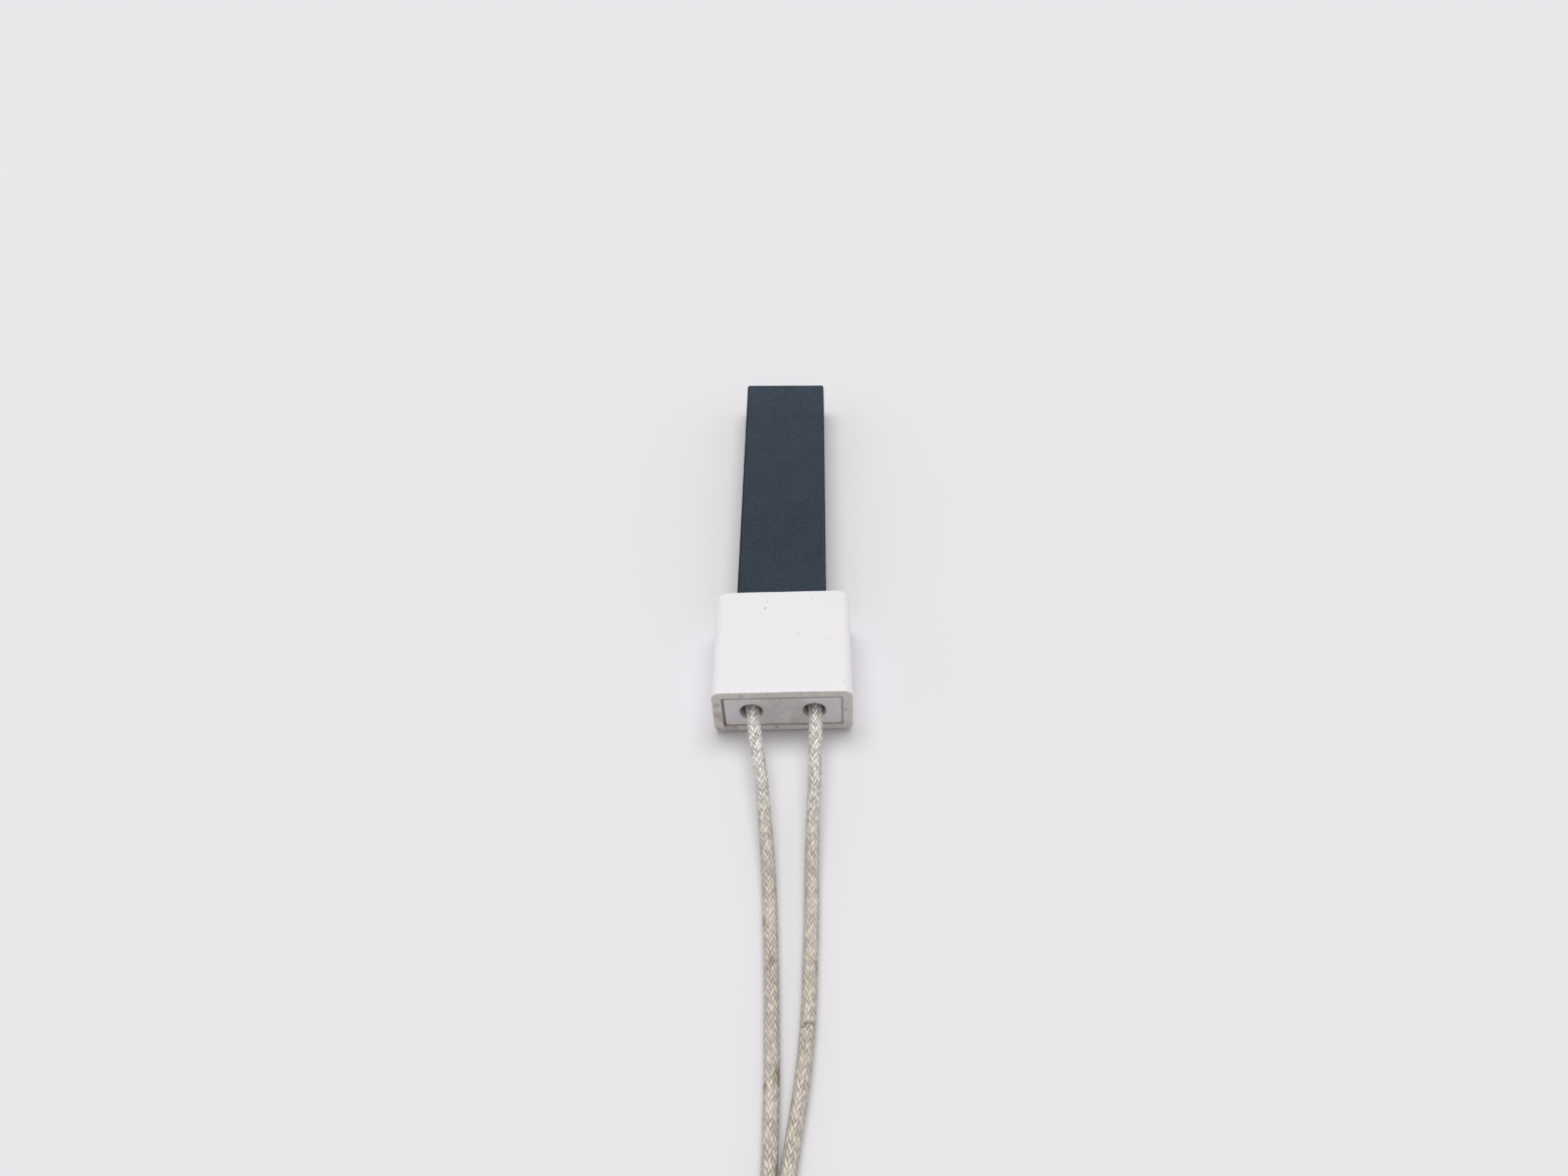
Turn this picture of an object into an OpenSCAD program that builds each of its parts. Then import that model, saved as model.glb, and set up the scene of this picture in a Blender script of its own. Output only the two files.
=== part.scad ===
// Flat hot-surface igniter: a silicon nitride heater blade cemented into a ceramic block,
// with two braided leads that end in push-on terminals.
// Millimetres, +Z up. The origin is the middle of the block's base. The blade points along +Y,
// and the leads leave the rear face along -Y.

/* [Housing] */
// Width of the ceramic block
housing_w = 25; // [23:0.5:32]
// Length of the ceramic block, along the blade
housing_l = 24.5; // [20:0.5:32]
// Thickness of the ceramic block
housing_t = 11; // [10.5:0.5:15]
// Wall at each side of the rear pocket
side_wall = 1.7; // [1.5:0.1:2.5]
// Wall above and below the rear pocket
broad_wall = 1.5; // [1.2:0.1:1.9]
// Radius of the block's long edges
long_edge_r = 1.6; // [0.8:0.1:2.5]
// Radius of the two front corners, seen from above
front_corner_r = 1.4; // [1:0.1:4]
// Radius of the front face's upper and lower edges
front_edge_r = 0.5; // [0.5:0.1:2]

/* [Rear cover] */
// Thickness of the cover plate
cover_t = 2.8; // [2:0.1:3.4]
// Cement seam all round the cover plate
cover_gap = 0.4; // [0.2:0.05:0.6]
// How far the cover plate lies behind the block's rear face
cover_recess = 0.15; // [0:0.05:0.6]
// Diameter of the two lead holes
lead_hole_d = 4.1; // [3.4:0.1:5.2]
// Distance between the two lead holes
lead_spacing = 11.3; // [9:0.1:13.5]

/* [Heater blade] */
// Width of the blade
blade_w = 17; // [15:0.5:20]
// Thickness of the blade
blade_t = 4; // [3:0.1:4.8]
// Length of blade that stands out of the block
blade_out = 66.5; // [50:0.5:85]
// Chamfer along the blade's edges
blade_edge = 0.3; // [0.1:0.05:0.6]
// Radius of the two tip corners, seen from above
tip_corner_r = 0.6; // [0.2:0.1:2]
// Cement gap between the blade and its slot
slot_gap = 0.4; // [0.2:0.05:0.8]

/* [Heater track] */
// Thickness of the metal track inside the blade
track_t = 0.3; // [0.2:0.05:0.6]
// Width of the two cold legs
leg_w = 3.2; // [2:0.1:4]
// Width of the narrow lines in the hot zone
hot_line_w = 1.3; // [0.6:0.1:2]
// Length of the hot zone, from the tip
hot_zone = 30; // [15:1:45]
// Bare ceramic beyond the track, at the tip and at the sides
track_margin = 2; // [1:0.1:3]

/* [Joints in the block] */
// Width of each contact pad
pad_w = 3.4; // [2.6:0.1:4]
// Length of each contact pad
pad_l = 4; // [3:0.1:4.6]
// Thickness of each contact pad
pad_t = 0.2; // [0.1:0.05:0.3]
// Diameter of the nickel wires
wire_d = 1; // [0.6:0.1:1.2]
// Thickness of braze over each wire
bead_cover = 0.2; // [0.1:0.05:0.3]
// Outside diameter of the crimp sleeves
crimp_d = 2.8; // [2.4:0.1:3.4]
// Length of the crimp sleeves
crimp_l = 4; // [3:0.1:5]
// Diameter of the stranded conductor in each lead
conductor_d = 1.5; // [1:0.1:1.8]

/* [Leads] */
// Diameter of the braided leads
lead_d = 2.4; // [2:0.1:2.6]
// Length of braid that reaches into the block
lead_in = 5; // [4.2:0.1:5.5]
// Length of the tied waist between the two folds of a hank
waist_l = 10; // [8:0.5:20]
// Width of the cable tie's band
tie_w = 2.5; // [2:0.1:4]
// Thickness of the cable tie's band
tie_t = 0.8; // [0.5:0.1:1.2]

/* [Push-on terminals] */
// Width of the flat tab that the terminal takes
tab_w = 6.3; // [4.8, 6.3]
// Thickness of the flat tab that the terminal takes
tab_t = 0.8; // [0.5, 0.8]
// Thickness of the terminal's sheet metal
sheet_t = 0.4; // [0.3:0.05:0.5]
// Length of the part that grips the tab
socket_l = 8.5; // [7:0.5:9]

/* [Hidden] */
$fn = 48;
left = -1;
right = 1;
mid_z = housing_t / 2;
rear_y = -housing_l / 2;
front_y = housing_l / 2;
tip_y = front_y + blade_out;
pocket_w = housing_w - 2 * side_wall;
pocket_h = housing_t - 2 * broad_wall;
cover_rear_y = rear_y + cover_recess;
cover_front_y = cover_rear_y + cover_t;
seam_recess = 0.2;
collar_recess = 0.3;
blade_top_z = mid_z + blade_t / 2;
through = 1;

// joints between the leads and the blade, from the rear to the front,
// all on the lead holes' centre lines
joint_x = lead_spacing / 2;
braid_play = 0.2;
crimp_gap = 0.2;
crimp_to_bend = 0.3;
wire_bend_r = 0.8;
root_gap = 0.2;
pad_offset = 0.6;
pad_room = 1.9;
bead_end = 0.4;
via_w = 1.6;
braid_end_y = rear_y + lead_in;
braid_bore_d = lead_d + 2 * braid_play;
crimp_rear_y = braid_end_y + crimp_gap;
crimp_front_y = crimp_rear_y + crimp_l;
conductor_end_y = crimp_rear_y + crimp_l / 2;
wire_up_y = crimp_front_y + crimp_to_bend + wire_bend_r;
root_y = wire_up_y + wire_d / 2 + root_gap;
pad_rear_y = root_y + pad_offset;
pad_front_y = pad_rear_y + pad_l;
pad_top_z = blade_top_z + pad_t;
via_y = (pad_rear_y + pad_front_y) / 2;
wire_top_z = pad_top_z + wire_d / 2;
wire_end_y = pad_front_y - bead_end;
bead_r = wire_d + bead_cover;
pocket_end_y = pad_front_y + pad_room;

// heater track, seen from above
hot_outer_x = blade_w / 2 - track_margin - hot_line_w / 2;
hot_inner_x = hot_outer_x / 3;
hot_tip_y = tip_y - track_margin;
hot_root_y = tip_y - hot_zone;
track_root_gap = 1.5;
track_root_y = root_y + track_root_gap;

// route of each lead's free stretch, from inside the block to its hank, with y from the rear face
rest_z = lead_d / 2;
left_route = [
    [-joint_x, lead_in, mid_z],
    [-joint_x, 2.5, mid_z],
    [-joint_x + 0.35, 0, mid_z],
    [-4.95, -4, 5.4],
    [-4.4, -8, 5],
    [-3.85, -12, 4.4],
    [-3.4, -16, 3.7],
    [-3.05, -20, 3],
    [-2.65, -25, 2.2],
    [-2.3, -30, 1.6],
    [-2.05, -35, 1.3],
    [-1.85, -40, rest_z],
    [-1.65, -46, rest_z],
    [-1.5, -52, rest_z],
    [-1.4, -58, rest_z],
    [-1.3, -64, rest_z],
    [-1.35, -70, rest_z],
    [-1.4, -75, rest_z],
    [-1.6, -80, rest_z],
    [-2.1, -85, rest_z]
];
right_route = [
    [joint_x, lead_in, mid_z],
    [joint_x, 2.5, mid_z],
    [joint_x + 0.15, 0, mid_z],
    [5.8, -4, 5.4],
    [5.7, -8, 5],
    [5.55, -12, 4.4],
    [5.4, -16, 3.7],
    [5.2, -20, 3],
    [5, -25, 2.2],
    [4.85, -30, 1.6],
    [4.8, -35, 1.3],
    [4.7, -40, rest_z],
    [4.5, -46, rest_z],
    [4.3, -52, rest_z],
    [3.95, -58, rest_z],
    [3.35, -64, rest_z],
    [2.5, -70, rest_z],
    [1.7, -75, rest_z],
    [1.1, -80, rest_z],
    [1.3, -85, rest_z]
];
tube_sides = 8;

// hank of each lead: two round folds with a tied waist between them
hank_start = 84;
hank_gap = 0.8;
folds_of_d = 3;
fold_r = folds_of_d * lead_d;
loop_r = fold_r + lead_d / 2;
hank_x = loop_r + hank_gap / 2;
waist_w = 2 * lead_d;
waist_h = 2 * lead_d;
flare = acos((lead_d / 2 + fold_r) / (2 * fold_r));
flare_l = fold_r * sin(flare);
flare_w = 2 * fold_r * cos(flare) + lead_d;
near_loop_y = rear_y - hank_start - loop_r;
waist_near_y = near_loop_y - 2 * flare_l;
waist_far_y = waist_near_y - waist_l;
far_loop_y = waist_far_y - 2 * flare_l;
entry_l = 5;
waist_lap = 0.5;

// cable tie
tie_y = (waist_near_y + waist_far_y) / 2;
tie_head_w = 4.4;
tie_head_h = 4.6;
tie_head_d = 3;
tie_tail_l = 1.5;

// push-on terminal, from the end that grips the braid to the mouth
barrel_l = 4;
barrel_gap = 0.6;
wire_barrel_l = 3.6;
neck_l = 2.8;
neck_w = 2.8;
terminal_l = barrel_l + barrel_gap + wire_barrel_l + neck_l + socket_l;
terminal_gap = 3;
terminal_y = waist_far_y - terminal_gap;
terminal_z = lead_d;
braid_past_barrel = 0.2;
lead_end_l = barrel_l + braid_past_barrel;
strand_d = 1.8;
strand_l = 4.9;
tab_play = 0.05;
socket_w = tab_w + 2 * tab_play + 2 * sheet_t;
curl_r = tab_t + tab_play + sheet_t;
curl_gap = 0.4;
curl_w = (socket_w - curl_gap) / 2;
dimple_d = 1.5;

// an outline in X and Z, extruded from y0 to y1
module along_y(y0, y1) {
    translate([0, y1, 0])
        rotate([90, 0, 0])
            linear_extrude(y1 - y0)
                children();
}

// an outline in Y and Z, extruded over a width centred on X = 0
module across_x(width) {
    translate([-width / 2, 0, 0])
        rotate([90, 0, 90])
            linear_extrude(width)
                children();
}

// a round bar along Y
module bar(d, y0, y1) {
    along_y(y0, y1)
        circle(d = d);
}

module rounded_rect(w, h, r) {
    square([w, h - 2 * r], center = true);
    square([w - 2 * r, h], center = true);
    for (x = [-1, 1], y = [-1, 1])
        translate([x * (w / 2 - r), y * (h / 2 - r)])
            circle(r);
}

// a flat-topped outline whose two sides are half circles
module round_sided(w, r) {
    square([w - 2 * r, 2 * r], center = true);
    for (x = [-1, 1])
        translate([x * (w / 2 - r), 0])
            circle(r);
}

module chamfered_rect(w, h, c) {
    polygon([
        [-w / 2 + c, -h / 2], [w / 2 - c, -h / 2], [w / 2, -h / 2 + c], [w / 2, h / 2 - c],
        [w / 2 - c, h / 2], [-w / 2 + c, h / 2], [-w / 2, h / 2 - c], [-w / 2, -h / 2 + c]
    ]);
}

// a bar's outline from low to high, with its two upper corners rounded
module round_ended(w, low, high, r) {
    translate([-w / 2, low])
        square([w, high - low - r]);
    translate([-w / 2 + r, low])
        square([w - 2 * r, high - low]);
    for (x = [-1, 1])
        translate([x * (w / 2 - r), high - r])
            circle(r);
}

module housing_form() {
    intersection() {
        along_y(rear_y, front_y)
            translate([0, mid_z])
                rounded_rect(housing_w, housing_t, long_edge_r);
        linear_extrude(housing_t)
            round_ended(housing_w, rear_y, front_y, front_corner_r);
        across_x(housing_w)
            translate([0, mid_z])
                rotate(-90)
                    round_ended(housing_t, rear_y, front_y, front_edge_r);
    }
}

module pocket_outline(gap = 0) {
    translate([0, mid_z])
        square([pocket_w - 2 * gap, pocket_h - 2 * gap], center = true);
}

module slot_outline() {
    translate([0, mid_z])
        square([blade_w + 2 * slot_gap, blade_t + 2 * slot_gap], center = true);
}

module blade_form() {
    intersection() {
        along_y(root_y, tip_y)
            translate([0, mid_z])
                chamfered_rect(blade_w, blade_t, blade_edge);
        linear_extrude(housing_t)
            round_ended(blade_w, root_y, tip_y, tip_corner_r);
        across_x(blade_w)
            translate([(root_y + tip_y) / 2, mid_z])
                chamfered_rect(tip_y - root_y, blade_t, blade_edge);
    }
}

// one line of the track, between two heights along the blade
module track_line(x, y0, y1, w) {
    translate([x - w / 2, y0])
        square([w, y1 - y0]);
}

module track_form() {
    translate([0, 0, mid_z - track_t / 2])
        linear_extrude(track_t) {
            for (side = [left, right]) {
                track_line(side * joint_x, track_root_y, hot_root_y + hot_line_w, leg_w);
                track_line(side * hot_outer_x, hot_root_y, hot_tip_y, hot_line_w);
                track_line(side * hot_inner_x, hot_root_y, hot_tip_y, hot_line_w);
                track_line(side * (hot_outer_x + hot_inner_x) / 2, hot_tip_y - hot_line_w, hot_tip_y,
                    hot_outer_x - hot_inner_x + hot_line_w);
            }
            track_line(0, hot_root_y, hot_root_y + hot_line_w, 2 * hot_inner_x + hot_line_w);
        }
    for (side = [left, right])
        translate([side * joint_x - via_w / 2, via_y - via_w / 2, mid_z])
            cube([via_w, via_w, blade_t / 2]);
}

module pad_form(side) {
    translate([side * joint_x - pad_w / 2, pad_rear_y, blade_top_z])
        cube([pad_w, pad_l, pad_t]);
}

// a bead with a flat base on the pad
module bead_form(side) {
    along_y(pad_rear_y, pad_front_y)
        translate([side * joint_x, pad_top_z])
            intersection() {
                circle(bead_r);
                translate([-bead_r, 0])
                    square([2 * bead_r, bead_r]);
            }
}

// a quarter bend in the plane X = 0, about a centre at y, z
module wire_bend(y, z, turn) {
    translate([0, y, z])
        rotate([turn, 0, 0])
            rotate([0, 90, 0])
                rotate_extrude(angle = 90)
                    translate([wire_bend_r, 0])
                        circle(d = wire_d);
}

// nickel wire: level in the crimp, up behind the blade's root, then level on the pad
module wire_form(side) {
    translate([side * joint_x, 0, 0]) {
        translate([0, 0, mid_z])
            bar(wire_d, conductor_end_y, wire_up_y - wire_bend_r);
        wire_bend(wire_up_y - wire_bend_r, mid_z + wire_bend_r, 0);
        translate([0, wire_up_y, mid_z + wire_bend_r])
            cylinder(d = wire_d, h = wire_top_z - mid_z - 2 * wire_bend_r);
        wire_bend(wire_up_y + wire_bend_r, wire_top_z - wire_bend_r, 180);
        translate([0, 0, wire_top_z])
            bar(wire_d, wire_up_y + wire_bend_r, wire_end_y);
    }
}

module crimp_form(side) {
    translate([side * joint_x, 0, mid_z])
        bar(crimp_d, crimp_rear_y, crimp_front_y);
}

module conductor_form(side) {
    translate([side * joint_x, 0, mid_z])
        bar(conductor_d, braid_end_y, conductor_end_y);
}

module ceramic_housing() {
    color([0.94, 0.94, 0.93])
        difference() {
            housing_form();
            along_y(rear_y - through, pocket_end_y)
                pocket_outline();
            along_y(pocket_end_y - through, front_y + through)
                slot_outline();
        }
}

module rear_cover() {
    color([0.86, 0.85, 0.85])
        along_y(cover_rear_y, cover_front_y)
            difference() {
                pocket_outline(cover_gap);
                for (side = [left, right])
                    translate([side * joint_x, mid_z])
                        circle(d = lead_hole_d);
            }
}

module cover_cement() {
    color([0.62, 0.54, 0.5])
        along_y(cover_rear_y + seam_recess, cover_front_y)
            difference() {
                pocket_outline();
                pocket_outline(cover_gap);
            }
}

module slot_cement() {
    color([0.8, 0.79, 0.76])
        difference() {
            along_y(pocket_end_y, front_y - collar_recess)
                slot_outline();
            blade_form();
        }
}

module cement_fill() {
    color([0.84, 0.83, 0.8])
        difference() {
            along_y(cover_front_y, pocket_end_y)
                pocket_outline();
            blade_form();
            for (side = [left, right]) {
                pad_form(side);
                bead_form(side);
                wire_form(side);
                crimp_form(side);
                conductor_form(side);
                translate([side * joint_x, 0, mid_z])
                    bar(braid_bore_d, cover_front_y - through, braid_end_y);
            }
        }
}

module heater_blade() {
    color([0.25, 0.28, 0.32])
        difference() {
            blade_form();
            track_form();
        }
}

module heater_track() {
    color([0.45, 0.45, 0.47])
        track_form();
}

module contact_pad(side) {
    color([0.72, 0.71, 0.68])
        pad_form(side);
}

module braze(side) {
    color([0.78, 0.72, 0.55])
        difference() {
            bead_form(side);
            wire_form(side);
        }
}

module nickel_wire(side) {
    color([0.75, 0.74, 0.7])
        wire_form(side);
}

module crimp_sleeve(side) {
    color([0.7, 0.7, 0.7])
        difference() {
            crimp_form(side);
            conductor_form(side);
            wire_form(side);
        }
}

module conductor(side) {
    color([0.73, 0.73, 0.71])
        conductor_form(side);
}

function unit(v) = v / norm(v);

function placed(route) = [for (p = route) p + [0, rear_y, 0]];

function heading(path, i) = unit(path[min(i + 1, len(path) - 1)] - path[max(i - 1, 0)]);

function ring(path, i) =
    let (t = heading(path, i), side = unit(cross(t, [0, 0, 1])), lift = cross(side, t))
    [for (k = [0 : tube_sides - 1])
        let (a = 360 * k / tube_sides)
        path[i] + lead_d / 2 * (cos(a) * side + sin(a) * lift)];

// a round cord swept along a path: one ring of points at each point of the path
module cord_tube(path) {
    last = len(path) - 1;
    points = [for (i = [0 : last]) each ring(path, i)];
    walls = [for (i = [0 : last - 1], k = [0 : tube_sides - 1])
        let (a = i * tube_sides + k, b = i * tube_sides + (k + 1) % tube_sides)
        [a, b, b + tube_sides, a + tube_sides]];
    near_end = [[for (k = [tube_sides - 1 : -1 : 0]) k]];
    far_end = [[for (k = [0 : tube_sides - 1]) last * tube_sides + k]];
    polyhedron(points = points, faces = concat(walls, near_end, far_end));
}

module lead(route) {
    color([0.85, 0.83, 0.77])
        cord_tube(placed(route));
}

// the straight start of a hank, on from the end of the lead's free stretch
module entry_outline(path) {
    last = len(path) - 1;
    way = heading(path, last);
    translate([path[last].x, path[last].y])
        rotate(atan2(way.y, way.x))
            translate([0, -lead_d / 2])
                square([entry_l, lead_d]);
}

// a fold's outline: a round loop that narrows to the waist
module fold_outline(loop_y, waist_y) {
    narrow_y = (loop_y + waist_y) / 2;
    translate([0, loop_y])
        circle(loop_r);
    polygon([
        [-flare_w / 2, narrow_y], [flare_w / 2, narrow_y],
        [waist_w / 2, waist_y], [-waist_w / 2, waist_y]
    ]);
}

module lead_hank(side, route) {
    color([0.85, 0.83, 0.77]) {
        translate([side * hank_x, 0, 0]) {
            linear_extrude(2 * lead_d)
                fold_outline(near_loop_y, waist_near_y);
            linear_extrude(lead_d)
                fold_outline(far_loop_y, waist_far_y);
            translate([0, tie_y, tie_t + waist_h / 2])
                cube([waist_w, waist_l + 2 * waist_lap, waist_h], center = true);
            translate([0, 0, terminal_z + sheet_t + lead_d / 2])
                bar(lead_d, terminal_y - lead_end_l, waist_far_y);
        }
        linear_extrude(lead_d)
            entry_outline(placed(route));
    }
}

// a cable tie round the waist, with its head on the outer side
module hank_tie(side) {
    band_w = waist_w + 2 * tie_t;
    band_h = waist_h + 2 * tie_t;
    head_x = side * (band_w + tie_head_d) / 2;
    color([0.9, 0.9, 0.88])
        translate([side * hank_x, tie_y, band_h / 2]) {
            along_y(-tie_w / 2, tie_w / 2)
                difference() {
                    rounded_rect(band_w, band_h, tie_t);
                    square([waist_w, waist_h], center = true);
                }
            translate([head_x, 0, 0])
                cube([tie_head_d, tie_head_w, tie_head_h], center = true);
            translate([head_x, 0, tie_head_h / 2 + tie_tail_l / 2])
                cube([tie_t, tie_w, tie_tail_l], center = true);
        }
}

// a rolled ring that grips what lies in it, standing on the terminal's floor
module grip(bore, y0, y1) {
    along_y(y0, y1)
        translate([0, sheet_t + bore / 2])
            difference() {
                circle(d = bore + 2 * sheet_t);
                circle(d = bore);
            }
}

// the part that takes the tab: a floor with both edges rolled over onto the tab
module socket_form(y0, y1) {
    along_y(y0, y1)
        difference() {
            union() {
                translate([-socket_w / 2 + curl_r, 0])
                    square([socket_w - 2 * curl_r, sheet_t]);
                for (side = [left, right])
                    translate([side * (socket_w - curl_w) / 2, curl_r])
                        round_sided(curl_w, curl_r);
            }
            for (side = [left, right])
                translate([side * (socket_w - curl_w) / 2, curl_r])
                    round_sided(curl_w - 2 * sheet_t, curl_r - sheet_t);
            translate([-tab_w / 2 - tab_play, sheet_t])
                square([tab_w + 2 * tab_play, tab_t + tab_play]);
        }
}

module push_on_terminal(side) {
    wire_y0 = barrel_l + barrel_gap;
    wire_y1 = wire_y0 + wire_barrel_l;
    socket_y = wire_y1 + neck_l;
    color([0.76, 0.74, 0.7])
        translate([side * hank_x, terminal_y, terminal_z])
            rotate([0, 0, 180])
                difference() {
                    union() {
                        grip(lead_d, 0, barrel_l);
                        grip(strand_d, wire_y0, wire_y1);
                        socket_form(socket_y, terminal_l);
                        translate([-neck_w / 2, 0, 0])
                            cube([neck_w, socket_y + through, sheet_t]);
                    }
                    translate([0, socket_y + socket_l / 2, -through])
                        cylinder(d = dimple_d, h = 2 * through);
                }
}

// bared strands between the braid's end and the wire barrel
module stripped_end(side) {
    color([0.73, 0.73, 0.71])
        translate([side * hank_x, terminal_y - lead_end_l, terminal_z + sheet_t + strand_d / 2])
            bar(strand_d, -strand_l, 0);
}

ceramic_housing();
rear_cover();
cover_cement();
slot_cement();
cement_fill();
heater_blade();
heater_track();
contact_pad(left);  // left_contact_pad
contact_pad(right);  // right_contact_pad
braze(left);  // left_braze
braze(right);  // right_braze
nickel_wire(left);  // left_nickel_wire
nickel_wire(right);  // right_nickel_wire
crimp_sleeve(left);  // left_crimp_sleeve
crimp_sleeve(right);  // right_crimp_sleeve
conductor(left);  // left_conductor
conductor(right);  // right_conductor
lead(left_route);  // left_lead
lead(right_route);  // right_lead
lead_hank(left, left_route);  // left_lead_hank
lead_hank(right, right_route);  // right_lead_hank
hank_tie(left);  // left_hank_tie
hank_tie(right);  // right_hank_tie
push_on_terminal(left);  // left_push_on_terminal
push_on_terminal(right);  // right_push_on_terminal
stripped_end(left);  // left_stripped_end
stripped_end(right);  // right_stripped_end
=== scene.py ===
# Flat hot surface igniter on a pale table: white ceramic block, dark heater blade, two braided
# leads. Metres, +Z up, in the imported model's own frame: the blade points along +Y, the leads -Y.
from math import acos, atan2, ceil, copysign, cos, hypot, pi, radians, sin, sqrt

import bmesh
import bpy
import numpy as np
from mathutils import Matrix, Vector, noise


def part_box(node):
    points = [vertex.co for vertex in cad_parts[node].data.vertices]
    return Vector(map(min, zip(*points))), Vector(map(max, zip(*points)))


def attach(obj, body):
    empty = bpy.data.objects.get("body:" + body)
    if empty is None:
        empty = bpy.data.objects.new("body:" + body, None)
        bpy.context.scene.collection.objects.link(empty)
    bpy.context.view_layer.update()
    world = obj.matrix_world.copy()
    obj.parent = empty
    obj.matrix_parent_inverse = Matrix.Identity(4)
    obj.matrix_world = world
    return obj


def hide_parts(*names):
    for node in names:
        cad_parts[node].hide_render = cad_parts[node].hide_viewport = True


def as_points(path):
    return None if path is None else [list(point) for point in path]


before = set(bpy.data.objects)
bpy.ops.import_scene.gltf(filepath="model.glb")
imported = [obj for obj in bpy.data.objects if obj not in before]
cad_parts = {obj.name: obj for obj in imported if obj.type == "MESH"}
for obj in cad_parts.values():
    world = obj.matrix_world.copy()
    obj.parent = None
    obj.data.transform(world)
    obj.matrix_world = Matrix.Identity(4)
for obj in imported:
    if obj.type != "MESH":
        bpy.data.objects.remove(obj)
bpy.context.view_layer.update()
body = "root"
blockLow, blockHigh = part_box("ceramic_housing")
bladeLow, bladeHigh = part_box("heater_blade")
plateLow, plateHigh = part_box("rear_cover")
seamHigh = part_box("cover_cement")[1]
slotLow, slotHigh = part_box("slot_cement")
rearY, frontY = blockLow[1], blockHigh[1]
topZ = blockHigh[2]
midZ = (blockLow[2] + topZ) / 2
plateTall = plateHigh[2] - midZ   # half of its height, as its width is plateHigh[0]
signs = {"left": -1, "right": 1}
holeX = 0.00565   # the lead holes' distance from the middle
restZ = 0.0012    # a lead's centre when it lies on the table
print("frame loaded")


# shader maths: a socket with operators, and a material that makes nodes

def operator(operation, swapped=False):
    # a method that joins the Value and what it is given in one maths node
    def apply(self, *others):
        inputs = (*others, self) if swapped else (self, *others)
        return self.math(operation, *inputs)
    return apply


class Value:
    def __init__(self, owner, socket):
        self.owner = owner
        self.socket = socket

    def math(self, operation, *inputs, clamp=False):
        return self.owner.node("ShaderNodeMath", dict(enumerate(inputs)), operation=operation,
                               use_clamp=clamp)

    __add__ = __radd__ = operator("ADD")
    __mul__ = __rmul__ = operator("MULTIPLY")
    __sub__ = operator("SUBTRACT")
    __rsub__ = operator("SUBTRACT", swapped=True)
    __truediv__ = operator("DIVIDE")
    __gt__ = operator("GREATER_THAN")
    __abs__ = operator("ABSOLUTE")
    __round__ = operator("ROUND")
    __mod__ = operator("FLOORED_MODULO")
    cos = operator("COSINE")
    max = operator("MAXIMUM")
    min = operator("MINIMUM")

    def clamp(self):
        return self.math("ADD", self, 0.0, clamp=True)

    def step(self, low, high):
        # 0 at low, 1 at high, smooth between; high may be the smaller of the two
        return self.owner.node("ShaderNodeMapRange", {0: self, 1: low, 2: high, 3: 0.0, 4: 1.0},
                               interpolation_type="SMOOTHSTEP")


class Nodes:
    def __init__(self, tree):
        self.tree = tree
        tree.nodes.clear()

    def node(self, kind, sockets=None, output=0, **settings):
        made = self.tree.nodes.new(kind)
        for key, value in settings.items():
            setattr(made, key, value)
        for key, value in (sockets or {}).items():
            if isinstance(value, Value):
                self.tree.links.new(value.socket, made.inputs[key])
            else:
                made.inputs[key].default_value = value
        return Value(self, made.outputs[output]) if made.outputs else None


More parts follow.
